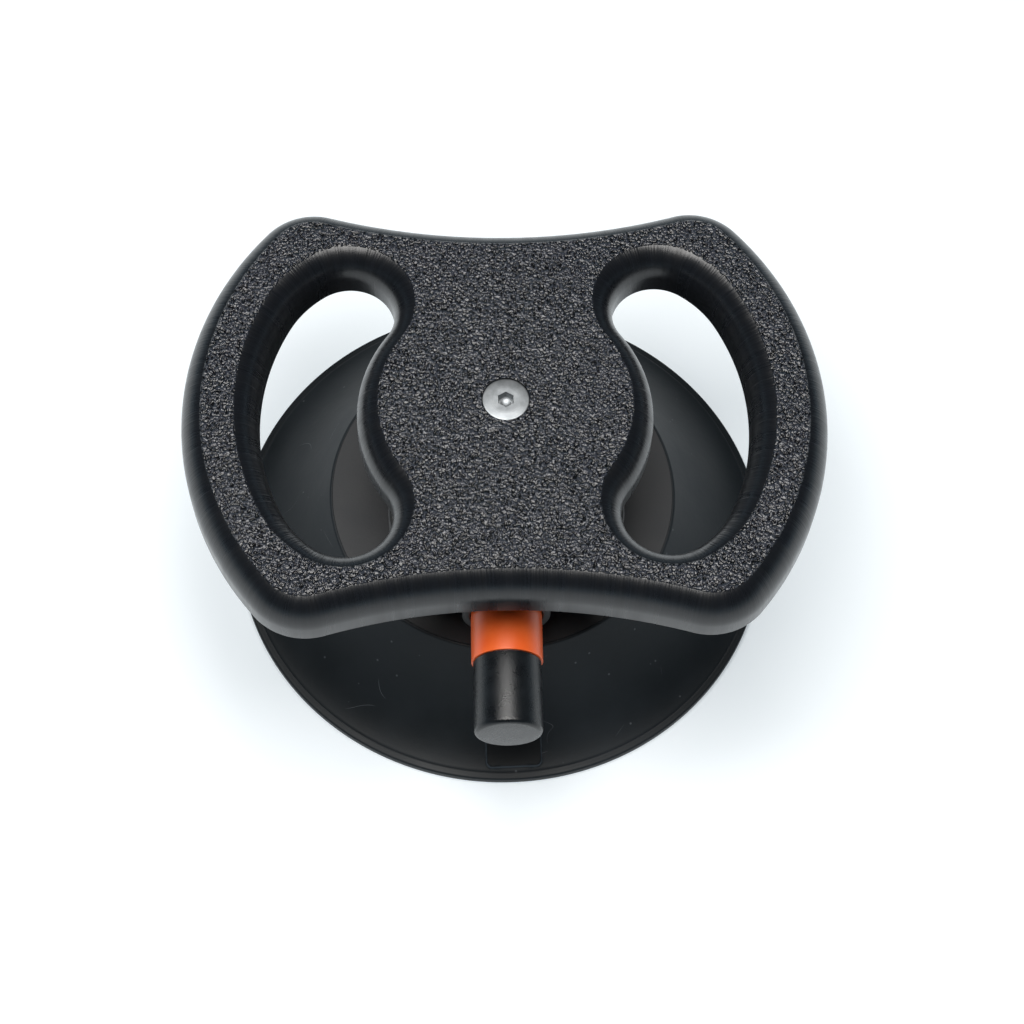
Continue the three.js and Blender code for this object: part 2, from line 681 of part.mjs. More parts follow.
function basePlate() {
  const blank = turned(
    [
      [0, BASE_BOTTOM],
      [BASE_RADIUS, BASE_BOTTOM],
      [BASE_RADIUS, BASE_TOP - BASE_CHAMFER],
      [BASE_RADIUS - BASE_CHAMFER, BASE_TOP],
      [0, BASE_TOP],
    ],
    48,
  );
  const grooveInner = ORING_RADIUS - ORING_DEPTH / 2;
  const grooveOuter = ORING_RADIUS + ORING_DEPTH / 2;
  const groove = ring(grooveInner, grooveOuter, BASE_TOP - ORING_DEPTH, BASE_TOP + 1);
  const cutters = [
    groove.translate(0, INLET_Y, 0),
    inletHole(INLET_BORE, BASE_BOTTOM - 1, BASE_TOP + 1),
    ...clampScrewHoles(BASE_BOTTOM - 1, BASE_TOP + 1),
  ];
  return part("base_plate", "base", cut(blank, cutters));
}

function clampDisc() {
  const blank = turned(
    [
      [0, CLAMP_BOTTOM],
      [CLAMP_RADIUS - CLAMP_CHAMFER, CLAMP_BOTTOM],
      [CLAMP_RADIUS, CLAMP_BOTTOM + CLAMP_CHAMFER],
      [CLAMP_RADIUS, CLAMP_TOP],
      [0, CLAMP_TOP],
    ],
    48,
  );
  const cutters = [
    inletHole(INLET_BORE, CLAMP_BOTTOM - 1, CLAMP_TOP + 1),
    ...clampScrewHoles(CLAMP_BOTTOM - 1, CLAMP_TOP + 1),
  ];
  return part("clamp_disc", "aluminium", cut(blank, cutters));
}

// A pan-head screw put in from below, with a hexagonal socket.
function clampScrew(place, index) {
  const shoulder = CLAMP_BOTTOM - GAP;
  const underside = shoulder - CLAMP_SCREW_HEAD;
  const tip = BODY_BOTTOM + CLAMP_SCREW_GRIP;
  const blank = turned(
    [
      [0, underside],
      [CLAMP_SCREW_HEAD_RADIUS - CLAMP_SCREW_HEAD_CHAMFER, underside],
      [CLAMP_SCREW_HEAD_RADIUS, underside + CLAMP_SCREW_HEAD_CHAMFER],
      [CLAMP_SCREW_HEAD_RADIUS, shoulder],
      [CLAMP_SCREW_RADIUS, shoulder],
      [CLAMP_SCREW_RADIUS, tip],
      [0, tip],
    ],
    24,
  );
  const socket = hexagon(
    CLAMP_SCREW_SOCKET,
    underside - 1,
    underside + CLAMP_SCREW_SOCKET_DEPTH,
  );
  const screw = part(`clamp_screw_${index + 1}`, "steel", cut(blank, [socket]));
  screw.position.set(place.x, place.y, 0);
  return screw;
}

// ---------------------------------------------------------------- inlet valve

function inletValve() {
  const group = new THREE.Group();
  group.position.y = INLET_Y;
  const radius = INLET_BORE - GAP;
  const seat = ring(VALVE_PORT, radius, INLET_SEAT_BOTTOM, INLET_SEAT_TOP, 28);
  const filterTop = INLET_SEAT_BOTTOM - GAP;
  const coilGeometry = coil(
    VALVE_SPRING_RADIUS,
    VALVE_SPRING_WIRE,
    VALVE_SPRING_TURNS,
    INLET_DISC_TOP + GAP,
    INLET_POCKET_TOP - GAP,
  );
  const sealSection = ORING_DEPTH / 2 - ORING_CLEAR;
  group.add(
    part("inlet_filter", "felt", rod(radius, filterTop - INLET_FILTER, filterTop, 28)),
    part("inlet_valve_seat", "acetal", seat),
    part("inlet_valve_disc", "rubber", rod(VALVE_DISC_RADIUS, INLET_DISC_BOTTOM, INLET_DISC_TOP, 28)),
    part("inlet_valve_spring", "steel", coilGeometry),
    part("base_oring", "rubber", roundRing(ORING_RADIUS, sealSection, BASE_TOP - ORING_DEPTH / 2)),
  );
  return group;
}

// ---------------------------------------------------------------- pump

function pumpBarrel() {
  const tube = ring(BARREL_BORE, BARREL_OUTER, BARREL_REAR, BARREL_FRONT);
  const port = rod(BARREL_PORT, -BARREL_OUTER - 1, 0, 20)
    .rotateX(-Math.PI / 2)
    .translate(0, 0, -INLET_Y);
  return part("pump_barrel", "aluminium", cut(tube, [port]));
}

function barrelCollar() {
  const profile = [
    [GUIDE_BORE, BARREL_FRONT - COLLAR_SPIGOT],
    [BARREL_LINING, BARREL_FRONT - COLLAR_SPIGOT],
    [BARREL_LINING, COLLAR_REAR],
    [BARREL_OUTER, COLLAR_REAR],
    [BARREL_OUTER, COLLAR_FACE - COLLAR_OUTER_CHAMFER],
    [BARREL_OUTER - COLLAR_OUTER_CHAMFER, COLLAR_FACE],
    [GUIDE_BORE + COLLAR_BORE_CHAMFER, COLLAR_FACE],
    [GUIDE_BORE, COLLAR_FACE - COLLAR_BORE_CHAMFER],
    [GUIDE_BORE, BARREL_FRONT - COLLAR_SPIGOT],
  ];
  return part("barrel_collar", "nylon", turned(profile));
}

function endPlug() {
  const spigot = BARREL_LINING;
  const root = BARREL_BORE - PLUG_GROOVE_DEPTH;
  const profile = [
    [0, PLUG_REAR],
    [BARREL_OUTER, PLUG_REAR],
    [BARREL_OUTER, PLUG_SHOULDER],
    [spigot, PLUG_SHOULDER],
    [spigot, PLUG_GROOVE_REAR],
    [root, PLUG_GROOVE_REAR],
    [root, PLUG_GROOVE_FRONT],
    [spigot, PLUG_GROOVE_FRONT],
    [spigot, PLUG_FRONT],
    [0, PLUG_FRONT],
  ];
  const slot = new THREE.BoxGeometry(PLUG_SLOT_LENGTH, PLUG_SLOT_WIDTH, 2 * PLUG_SLOT_DEPTH);
  slot.translate(0, 0, PLUG_REAR);
  return part("barrel_end_plug", "nylon", cut(turned(profile), [slot]));
}

function endPlugOring() {
  const section = PLUG_GROOVE_DEPTH / 2 - SEAL_GAP;
  const middle = BARREL_BORE - PLUG_GROOVE_DEPTH / 2;
  const height = (PLUG_GROOVE_FRONT + PLUG_GROOVE_REAR) / 2;
  return part("end_plug_oring", "rubber", roundRing(middle, section, height));
}

function endPlugCirclip() {
  const outer = BODY_BORE + CIRCLIP_GROOVE - GAP;
  const band = ring(outer - CIRCLIP_WIDTH, outer, CIRCLIP_REAR, CIRCLIP_FRONT);
  const opening = new THREE.BoxGeometry(CIRCLIP_OPENING, 2 * outer, 4 * CIRCLIP_THICKNESS);
  opening.translate(0, -outer, CIRCLIP_REAR);
  return part("end_plug_circlip", "steel", cut(band, [opening]));
}

function pushCap() {
  const recess = TUBE_RADIUS + GAP;
  const profile = [
    [recess, CAP_REAR],
    [CAP_RADIUS, CAP_REAR],
    [CAP_RADIUS, CAP_FRONT - CAP_END_ROUND],
    [CAP_RADIUS - CAP_END_ROUND * CAP_END_MIDDLE, CAP_FRONT - CAP_END_ROUND * CAP_END_MIDDLE],
    [CAP_RADIUS - CAP_END_ROUND, CAP_FRONT],
    [0, CAP_FRONT],
    [0, CAP_RECESS_FRONT],
    [recess, CAP_RECESS_FRONT],
    [recess, CAP_REAR],
  ];
  return part("push_cap", "cap", turned(profile));
}

function plungerTube() {
  const tube = ring(TUBE_BORE, TUBE_RADIUS, TUBE_REAR, TUBE_FRONT);
  const vent = rod(TUBE_VENT_RADIUS, -TUBE_RADIUS - 1, 0, 16)
    .rotateX(-Math.PI / 2)
    .translate(0, 0, RETAINER_REAR + RETAINER_LENGTH + TUBE_VENT_SPACE);
  return part("plunger_tube", "aluminium", cut(tube, [vent]));
}

function piston() {
  const grooveRear = PISTON_MIDDLE - PISTON_GROOVE_LENGTH / 2;
  const grooveFront = PISTON_MIDDLE + PISTON_GROOVE_LENGTH / 2;
  const grooveRoot = BARREL_BORE - PISTON_GROOVE_DEPTH;
  const profile = [
    [VALVE_PORT, PISTON_REAR],
    [PISTON_RADIUS, PISTON_REAR],
    [PISTON_RADIUS, grooveRear],
    [grooveRoot, grooveRear],
    [grooveRoot, grooveFront],
    [PISTON_RADIUS, grooveFront],
    [PISTON_RADIUS, PISTON_FRONT],
    [TUBE_BORE - GAP, PISTON_FRONT],
    [TUBE_BORE - GAP, SPIGOT_FRONT],
    [VALVE_PORT, SPIGOT_FRONT],
    [VALVE_PORT, PISTON_REAR],
  ];
  return part("piston", "acetal", turned(profile));
}

// A lip seal: a thick ring in the piston's groove with a V cut in its rear.
function pistonSeal() {
  const rear = PISTON_MIDDLE - PISTON_GROOVE_LENGTH / 2 + SEAL_GAP;
  const front = PISTON_MIDDLE + PISTON_GROOVE_LENGTH / 2 - SEAL_GAP;
  const inner = BARREL_BORE - PISTON_GROOVE_DEPTH + SEAL_GAP;
  const outer = BARREL_LINING;
  const profile = [
    [inner, rear],
    [inner + SEAL_LIP, rear],
    [(inner + outer) / 2, PISTON_MIDDLE],
    [outer - SEAL_LIP, rear],
    [outer, rear],
    [outer, front - SEAL_NOSE_LENGTH],
    [outer - SEAL_NOSE_DROP, front],
    [inner, front],
    [inner, rear],
  ];
  return part("piston_seal", "rubber", turned(profile));
}

function exhaustValve() {
  const discFront = EXHAUST_DISC_REAR + VALVE_DISC_THICKNESS;
  const springFront = EXHAUST_SPRING_REAR + EXHAUST_SPRING_LENGTH;
  const retainerFront = RETAINER_REAR + RETAINER_LENGTH;
  const retainer = ring(RETAINER_BORE, TUBE_BORE - GAP, RETAINER_REAR, retainerFront);
  return [
    part("exhaust_valve_disc", "rubber", rod(VALVE_DISC_RADIUS, EXHAUST_DISC_REAR, discFront, 28)),
    part(
      "exhaust_valve_spring",
      "steel",
      coil(
        VALVE_SPRING_RADIUS,
        VALVE_SPRING_WIRE,
        VALVE_SPRING_TURNS,
        EXHAUST_SPRING_REAR,
        springFront,
      ),
    ),
    part("exhaust_spring_retainer", "acetal", retainer),
  ];
}

function pump() {
  const group = new THREE.Group();
  group.position.z = PUMP_AXIS_Z;
  group.rotation.x = Math.PI / 2;
  const wiper = ring(GUIDE_BORE, BARREL_LINING, WIPER_FRONT - WIPER_LENGTH, WIPER_FRONT);
  const bush = ring(GUIDE_BORE, BARREL_LINING, BUSH_REAR, BUSH_FRONT);
  const band = ring(BAND_BORE, BAND_RADIUS, BAND_REAR, BAND_FRONT);
  const springEnd = PISTON_REAR - GAP;
  const springStart = PLUG_FRONT + GAP;
  const spring = coil(SPRING_RADIUS, SPRING_WIRE, SPRING_TURNS, springStart, springEnd);
  group.add(
    pumpBarrel(),
    barrelCollar(),
    part("plunger_wiper", "felt", wiper),
    part("guide_bush", "acetal", bush),
    endPlug(),
    endPlugOring(),
    endPlugCirclip(),
    pushCap(),
    plungerTube(),
    part("indicator_band", "band", band),
    piston(),
    pistonSeal(),
    part("plunger_spring", "steel", spring),
    ...exhaustValve(),
  );
  return group;
}

// ---------------------------------------------------------------- assembly

const grabBar = new THREE.Group();
grabBar.add(
  grabPlate(),
  plateScrew(),
  threadedInsert(),
  barrelGrubScrew(),
  pumpBody(),
  basePlate(),
  vacuumCup(),
  clampDisc(),
  ...CLAMP_SCREW_PLACES.map(clampScrew),
  inletValve(),
  pump(),
);

export default grabBar;
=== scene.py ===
# %% [markdown]
# # A suction grab bar
#
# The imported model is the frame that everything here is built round. It already
# holds each piece at its real size and place, grouped into the bodies that move.
# This file gives the pieces their fine surfaces and finishes. All sizes are in
# metres, +Z is up, and the cup stands on the plane z = 0.

import bmesh
import bpy
import numpy as np
from mathutils import Matrix, Vector


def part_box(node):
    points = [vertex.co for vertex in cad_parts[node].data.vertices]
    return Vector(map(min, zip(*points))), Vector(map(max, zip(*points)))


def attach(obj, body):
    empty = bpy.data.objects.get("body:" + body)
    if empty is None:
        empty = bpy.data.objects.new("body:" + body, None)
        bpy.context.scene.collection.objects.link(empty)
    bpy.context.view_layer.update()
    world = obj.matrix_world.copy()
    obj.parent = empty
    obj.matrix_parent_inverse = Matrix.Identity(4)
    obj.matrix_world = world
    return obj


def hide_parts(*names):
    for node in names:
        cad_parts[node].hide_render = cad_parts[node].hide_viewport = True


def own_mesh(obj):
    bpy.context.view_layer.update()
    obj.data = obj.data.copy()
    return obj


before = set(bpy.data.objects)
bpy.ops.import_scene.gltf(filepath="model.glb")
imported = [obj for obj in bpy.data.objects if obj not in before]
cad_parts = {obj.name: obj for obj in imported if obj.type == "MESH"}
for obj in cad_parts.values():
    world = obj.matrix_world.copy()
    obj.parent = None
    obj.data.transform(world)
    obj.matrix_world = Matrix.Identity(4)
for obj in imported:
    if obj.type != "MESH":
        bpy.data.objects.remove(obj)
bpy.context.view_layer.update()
MM = 0.001

# %% [markdown]
# ## Turning arrays into meshes
#
# Nearly every piece is a surface with two parameters: one runs round the piece
# and one runs along its profile. numpy works out all the points at once as a
# grid, and the faces are then just neighbours in that grid. That is exact and
# quick, and each shape's formula stays readable.

# %% Grids of points become faces
def grid_faces(rows, columns, first=0):
    """Quads between neighbouring points of a grid that is stored row by row."""
    index = first + np.arange(rows * columns).reshape(rows, columns)
    corners = (index[:-1, :-1], index[:-1, 1:], index[1:, 1:], index[1:, :-1])
    return np.stack([c.ravel() for c in corners], axis=1)


def mesh_of_grids(name, grids, uvs=None):
    """One mesh from several point grids of shape (rows, columns, 3). Points that
    coincide are merged, so seams close and poles become triangles, and all
    faces are then made to point outwards."""
    mesh = bpy.data.meshes.new(name)
    points = np.concatenate([g.reshape(-1, 3) for g in grids])
    starts = np.cumsum([0] + [g.shape[0] * g.shape[1] for g in grids[:-1]])
    faces = np.concatenate([grid_faces(g.shape[0], g.shape[1], s) for g, s in zip(grids, starts)])
    mesh.from_pydata(points.tolist(), [], faces.tolist())
    if uvs is not None:
        layer = mesh.uv_layers.new(name="UVMap")
        flat = np.concatenate([u.reshape(-1, 2) for u in uvs])
        layer.data.foreach_set("uv", flat[faces.ravel()].ravel())
    work = bmesh.new()
    work.from_mesh(mesh)
    bmesh.ops.remove_doubles(work, verts=work.verts, dist=1e-6)
    bmesh.ops.dissolve_degenerate(work, edges=work.edges, dist=1e-7)
    bmesh.ops.recalc_face_normals(work, faces=work.faces)
    work.to_mesh(mesh)
    work.free()
    return mesh


# %% Meshes become pieces of the object
SHARP = np.radians(24)


def piece(name, shape, finish, body, nodes):
    """A shown piece: smooth shaded up to the sharp angle, riding on its body,
    standing for the named nodes and wearing the given material. Its shape is a
    mesh, or a list of point grids."""
    mesh = mesh_of_grids(name, shape) if isinstance(shape, list) else shape
    made = bpy.data.objects.new(name, mesh)
    bpy.context.scene.collection.objects.link(made)
    mesh.materials.clear()
    mesh.materials.append(finish)
    mesh.shade_smooth()
    mesh.set_sharp_from_angle(angle=SHARP)
    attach(made, body)
    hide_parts(*nodes)
    low, high = np.array(made.bound_box).min(0), np.array(made.bound_box).max(0)
    print(f"{name}: {len(mesh.polygons)} faces, {np.round((high - low) / MM, 1)} mm")
    return made


# %% Lathe work
def around(count):
    """Angles once round, with the first repeated at the end to close the ring."""
    return np.linspace(0, 2 * np.pi, count + 1)


def lathe(profile, centre=(0, 0), count=128):
    """Points (r cos a, r sin a, z) for each pair (r, z) of the profile and each
    angle a, about an upright axis through the centre."""
    r, z = np.array(profile, float).T
    a = around(count)
    x = centre[0] + np.outer(r, np.cos(a))
    y = centre[1] + np.outer(r, np.sin(a))
    return np.stack([x, y, np.repeat(z[:, None], count + 1, axis=1)], axis=2)


pump_low, pump_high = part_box("pump_barrel")
AXIS_Z = (pump_low.z + pump_high.z) / 2


def along_pump(points):
    """Turns points made about +Z so that +Z becomes -Y, at the pump's height."""
    x, y, z = points[..., 0], points[..., 1], points[..., 2]
    return np.stack([x, -z, y + AXIS_Z], axis=-1)


def pump_extent(node):
    """Where a node starts and ends along the pump, from rear to front, and its
    outer radius."""
    low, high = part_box(node)
    return -high.y, -low.y, (high.x - low.x) / 2


def rounded(corners, radii, steps=6):
    """A profile whose corners are cut by circular arcs, with radii in mm. At each
    corner the arc touches both sides at radius times tan(half the turn) from it."""
    corners, radii = np.array(corners, float), np.array(radii) * MM
    out = [corners[:1]]
    for before, here, after, radius in zip(corners, corners[1:], corners[2:], radii[1:]):
        into, away = here - before, after - here
        into, away = into / np.hypot(*into), away / np.hypot(*away)
        turn = np.arctan2(into[0] * away[1] - into[1] * away[0], into @ away)
        if radius == 0 or abs(turn) < 1e-6:
            out.append(here[None])
            continue
        side = np.sign(turn) * np.array([-into[1], into[0]])
        centre = here - into * radius * np.tan(abs(turn) / 2) + side * radius
        share = np.linspace(0, abs(turn), steps + 1)[:, None]
        out.append(centre - radius * (np.cos(share) * side - np.sin(share) * into))
    out.append(corners[-1:])
    return np.concatenate(out)


# %% [markdown]
# ## Finishes
#
# Each material is named for what the real surface is and how it was made. The
# patterns are solid noise on Object coordinates, in metres, so their scale is
# one over a real size. Only the milled edge of the plate follows its own UV
# map, because the cutter's marks run across the edge all the way round.

# %% Colours and nodes
def linear(colour):
    """An sRGB hex colour such as "#2b2d31" as linear red, green, blue and alpha."""
    srgb = np.array([int(colour[i:i + 2], 16) for i in (1, 3, 5)]) / 255
    rgb = np.where(srgb <= 0.04045, srgb / 12.92, ((srgb + 0.055) / 1.055) ** 2.4)
    return (*rgb.tolist(), 1.0)


def add(tree, kind, inputs=(), **settings):
    """Adds one node. Each input is given as (name or number, value), and a value
    that is an output socket is linked."""
    node = tree.nodes.new(kind)
    for name, value in settings.items():
        setattr(node, name, value)
    for key, value in inputs:
        if isinstance(value, bpy.types.NodeSocket):
            tree.links.new(value, node.inputs[key])
        else:
            node.inputs[key].default_value = value
    return node


def link(value, shader, name):
    shader.id_data.links.new(value, shader.inputs[name])


def new_finish(name, constants):
    """A material with one Principled shader, whose constant sockets are set."""
    finish = bpy.data.materials.new(name)
    finish.use_nodes = True
    shader = finish.node_tree.nodes["Principled BSDF"]
    for socket, value in constants.items():
        shader.inputs[socket].default_value = value
    return finish, finish.node_tree, shader


def object_place(tree):
    """A point's own place on the piece, in metres."""
    return add(tree, "ShaderNodeTexCoord").outputs["Object"]


def noise(tree, place, size, detail=2.0, rough=0.5, distortion=0.0):
    """Noise whose lumps are about the given size in metres, from 0 to 1."""
    return add(tree, "ShaderNodeTexNoise", [
        ("Vector", place), ("Scale", 1 / size), ("Detail", detail),
        ("Roughness", rough), ("Distortion", distortion),
    ]).outputs["Fac"]


def ramp(tree, value, stops):
    """A colour ramp through (position, sRGB hex colour) stops."""
    node = add(tree, "ShaderNodeValToRGB", [("Fac", value)])
    elements = node.color_ramp.elements
    while len(elements) < len(stops):
        elements.new(0.5)
    for element, (position, colour) in zip(elements, stops):
        element.position = position
        element.color = linear(colour)
    return node.outputs["Color"]


def spread(tree, value, low, high, start=0.3, end=0.7):
    """Stretches a value that lies between start and end to run from low to high."""
    return add(tree, "ShaderNodeMapRange", [
        ("Value", value), ("From Min", start), ("From Max", end), ("To Min", low), ("To Max", high),
    ]).outputs["Result"]


def maths(tree, operation, first, second=0.0):
    return add(tree, "ShaderNodeMath", [(0, first), (1, second)], operation=operation).outputs[0]


def blend_colours(tree, share, first, second):
    """The first colour where the share is 0 and the second where it is 1."""
    return add(tree, "ShaderNodeMix", [(0, share), (6, first), (7, second)], data_type="RGBA").outputs[2]


def bump(tree, height, depth, before=None):
    """A bump whose full height is the given depth in metres."""
    inputs = [("Height", height), ("Distance", depth), ("Strength", 1.0)]
    if before is not None:
        inputs.append(("Normal", before))
    return add(tree, "ShaderNodeBump", inputs).outputs["Normal"]


def wear(tree, shader, colours, size, roughness, depth=0.0, detail=4.0):
    """The usual slight unevenness: colour and roughness drift over patches of
    the given size, and a finer grain stands up by the given depth."""
    place = object_place(tree)
    drift = noise(tree, place, size, detail, 0.6)
    link(ramp(tree, drift, [(0.3, colours[0]), (0.7, colours[1])]), shader, "Base Color")
    link(spread(tree, drift, roughness[0], roughness[1]), shader, "Roughness")
    if depth:
        grain = noise(tree, place, size / 12, 3.0, 0.55)
        link(bump(tree, grain, depth), shader, "Normal")
    return place, drift


# %% [markdown]
# The grab plate is high-density polyethylene board, the kind sold for boat
# fittings. Its two faces are pressed with a fine pebbled grain, and the edges
# are cut by a router, which leaves close marks across the edge. The grain is
# about a millimetre across, so it shows as a strong sparkle in the softbox, and
# its crests are also painted lighter as a painted highlight.

# %% Polyethylene board with a pebbled face and a milled edge
plate_low, plate_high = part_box("grab_plate")
GRAIN = 0.98 * MM
GRAIN_DEPTH = 0.8 * MM
GRAIN_START, GRAIN_FULL = 0.25 * MM, 0.05 * MM
CUTTER_MARK = 0.62 * MM
CUTTER_MARK_REACH = 24 * MM
CUTTER_MARK_DEPTH = 0.17 * MM
CHATTER_START = 11 * MM
CHATTER_FULL = 20 * MM


def polyethylene_board():
    board, tree, shader = new_finish("pebbled_polyethylene_board", {"IOR": 1.54, "Metallic": 0.0})
    place = object_place(tree)
    height = add(tree, "ShaderNodeSeparateXYZ", [(0, place)]).outputs["Z"]
    middle = (plate_low.z + plate_high.z) / 2
    from_middle = maths(tree, "ABSOLUTE", maths(tree, "SUBTRACT", height, middle))
    half = (plate_high.z - plate_low.z) / 2
    face = spread(tree, from_middle, 0.0, 1.0, half - GRAIN_START, half - GRAIN_FULL)
    pebble = noise(tree, place, GRAIN, 0.0, 0.5, 0.35)
    cells = add(tree, "ShaderNodeTexVoronoi", [
        ("Vector", place), ("Scale", 1 / GRAIN), ("Smoothness", 0.4),
    ], feature="SMOOTH_F1").outputs["Distance"]
    grain_height = maths(tree, "SUBTRACT", pebble, maths(tree, "MULTIPLY", cells, 0.5))
    grain = maths(tree, "MULTIPLY", grain_height, face)
    on_edge = add(tree, "ShaderNodeTexCoord").outputs["UV"]
    across = add(tree, "ShaderNodeMapping", [
        ("Vector", on_edge), ("Scale", (1 / CUTTER_MARK, 1 / CUTTER_MARK_REACH, 1.0)),
    ]).outputs[0]
    marks = noise(tree, across, 1.0, 1.0, 0.5)
    bands = noise(tree, across, 9.0, 2.0, 0.6)
    climb = add(tree, "ShaderNodeSeparateXYZ", [(0, on_edge)]).outputs["Y"]
    chatter = spread(tree, climb, 0.15, 1.0, CHATTER_START, CHATTER_FULL)
    chatter = maths(tree, "MULTIPLY", chatter, spread(tree, bands, 0.3, 1.3))
    chatter = maths(tree, "MULTIPLY", chatter, maths(tree, "SUBTRACT", 1.0, face))
    milled = maths(tree, "MULTIPLY", marks, chatter)
    edge_colour = blend_colours(tree, spread(tree, marks, 0.0, 1.0), linear("#0f1216"), linear("#181b20"))
    edge_colour = blend_colours(tree, spread(tree, bands, 0.0, 0.5), edge_colour, linear("#0d0e11"))
    # Painted highlight: the crests of the grain are painted lighter, for the softbox's sparkle on the bumps.
    painted_crest_highlight = spread(tree, grain_height, 0.0, 1.0, 0.1, 0.42)
    face_colour = blend_colours(tree, painted_crest_highlight, linear("#08090c"), linear("#30333b"))
    link(blend_colours(tree, face, edge_colour, face_colour), shader, "Base Color")
    edge_roughness = spread(tree, bands, 0.24, 0.34)
    roughness = add(tree, "ShaderNodeMix", [
        (0, face), (2, edge_roughness), (3, 0.20),
    ], data_type="FLOAT").outputs[0]
    link(roughness, shader, "Roughness")
    raised = bump(tree, grain, GRAIN_DEPTH)
    link(bump(tree, milled, CUTTER_MARK_DEPTH, raised), shader, "Normal")
    return board


board = polyethylene_board()

# %% [markdown]
# The cup is moulded from a soft black synthetic rubber. It is matt with a faint
# bloom, dust sticks to it and fine hairs and scuffs catch the light. The lifting
# tab is painted darker, a painted shade for the push cap's shadow over it, and
# has a painted highlight as a light outline round its edge: the attribute "tab"
# is 1 on it and 0 off it.

# %% Moulded black rubber
DUST_SPACING = 7 * MM
HAIR_BEND = 60 * MM
HAIR_LENGTH = 22 * MM


def moulded_rubber(name, dark, light, roughness, dust_hair_and_painted_tab):
    rubber, tree, shader = new_finish(name, {"IOR": 1.52, "Metallic": 0.0, "Specular IOR Level": 0.28})
    place, drift = wear(tree, shader, (dark, light), 35 * MM, roughness, 0.05 * MM)
    if dust_hair_and_painted_tab:
        grit = add(tree, "ShaderNodeTexVoronoi", [
            ("Vector", place), ("Scale", 1 / DUST_SPACING),
        ]).outputs["Distance"]
        dust = spread(tree, grit, 0.0, 1.0, 0.075, 0.04)
        bent = noise(tree, place, HAIR_BEND, 1.0, 0.5, 1.5)
        line = maths(tree, "ABSOLUTE", maths(tree, "SUBTRACT", bent, 0.5))
        hair = spread(tree, line, 0.0, 1.0, 0.0016, 0.0004)
        where = spread(tree, noise(tree, place, HAIR_LENGTH, 0.0), 0.0, 1.0, 0.60, 0.66)
        hair = maths(tree, "MULTIPLY", hair, where)
        marks = maths(tree, "ADD", hair, maths(tree, "MULTIPLY", dust, 0.5))
        plain = shader.inputs["Base Color"].links[0].from_socket
        colour = blend_colours(tree, marks, plain, linear("#5d6166"))
        on_tab = add(tree, "ShaderNodeAttribute", attribute_name="tab").outputs["Fac"]
        painted_outline_distance = maths(tree, "ABSOLUTE", maths(tree, "SUBTRACT", on_tab, 0.5))
        # Painted shade: the tab is filled darker, for the push cap's shadow over it.
        colour = blend_colours(tree, on_tab, colour, linear("#0b0f12"))
        # Painted highlight: a lighter outline round the tab's sloped edge.
        colour = blend_colours(tree, spread(tree, painted_outline_distance, 0.8, 0.0, 0.1, 0.45), colour, linear("#39424a"))
        link(colour, shader, "Base Color")
        link(spread(tree, on_tab, 0.28, 0.21, 0.0, 1.0), shader, "Specular IOR Level")
    return rubber


cup_rubber = moulded_rubber("moulded_cup_rubber", "#10161a", "#181e23", (0.48, 0.58), True)
seal_rubber = moulded_rubber("nitrile_seal_rubber", "#161718", "#1d1e20", (0.45, 0.6), False)

# %% [markdown]
# The mouldings are glass-filled nylon, acetal and ABS. All are slightly uneven
# from the mould: nylon is dull with a fine spark-eroded skin, acetal is milky,
# and ABS is bright, because its mould was polished.

# %% Moulded plastics
def moulded_plastic(name, dark, light, roughness, size, depth, constants):
    plastic, tree, shader = new_finish(name, {"Metallic": 0.0, **constants})
    wear(tree, shader, (dark, light), size, roughness, depth)
    return plastic


housing_nylon = moulded_plastic(
    "spark_eroded_black_nylon", "#0c0d0f", "#121315", (0.50, 0.62), 9 * MM, 0.05 * MM, {"IOR": 1.53})
disc_nylon = moulded_plastic(
    "matt_grey_nylon", "#1e2023", "#282a2d", (0.58, 0.7), 12 * MM, 0.04 * MM, {"IOR": 1.53})
collar_nylon = moulded_plastic(
    "black_nylon_collar", "#0a0b0d", "#101113", (0.38, 0.48), 6 * MM, 0.02 * MM, {"IOR": 1.53})
cap_abs = moulded_plastic(
    "gloss_black_abs", "#0c0f12", "#13171b", (0.24, 0.34), 6 * MM, 0.09 * MM, {"IOR": 1.47})
orange_abs = moulded_plastic(
    "orange_abs", "#f05f22", "#f56b2a", (0.32, 0.42), 8 * MM, 0.006 * MM, {"IOR": 1.54})
natural_acetal = moulded_plastic(
    "natural_acetal", "#dcd8cc", "#e6e3da", (0.38, 0.48), 8 * MM, 0.01 * MM,
    {"IOR": 1.48, "Subsurface Weight": 0.08})

# %% [markdown]
# The metals are stainless steel, brass, anodised aluminium, spring wire and a
# blackened grub screw. A lathe leaves fine rings, so the bump is noise read along
# the distance from the upright axis through the middle of the object.

# %% Turned and drawn metals
def turned_metal(name, dark, light, roughness, ring_width, depth):
    metal, tree, shader = new_finish(name, {"Metallic": 1.0})
    place = object_place(tree)
    flat = add(tree, "ShaderNodeVectorMath", [
        (0, place), (1, (1.0, 1.0, 0.0)),
    ], operation="MULTIPLY").outputs[0]
    reach = add(tree, "ShaderNodeVectorMath", [(0, flat)], operation="LENGTH").outputs["Value"]
    rings = add(tree, "ShaderNodeTexNoise", [
        ("W", reach), ("Scale", 1 / ring_width), ("Detail", 2.0),
    ], noise_dimensions="1D").outputs["Fac"]
    stain = noise(tree, place, 4 * MM, 3.0, 0.6)
    link(ramp(tree, stain, [(0.3, dark), (0.7, light)]), shader, "Base Color")
    link(spread(tree, rings, roughness[0], roughness[1]), shader, "Roughness")
    link(bump(tree, rings, depth), shader, "Normal")
    return metal


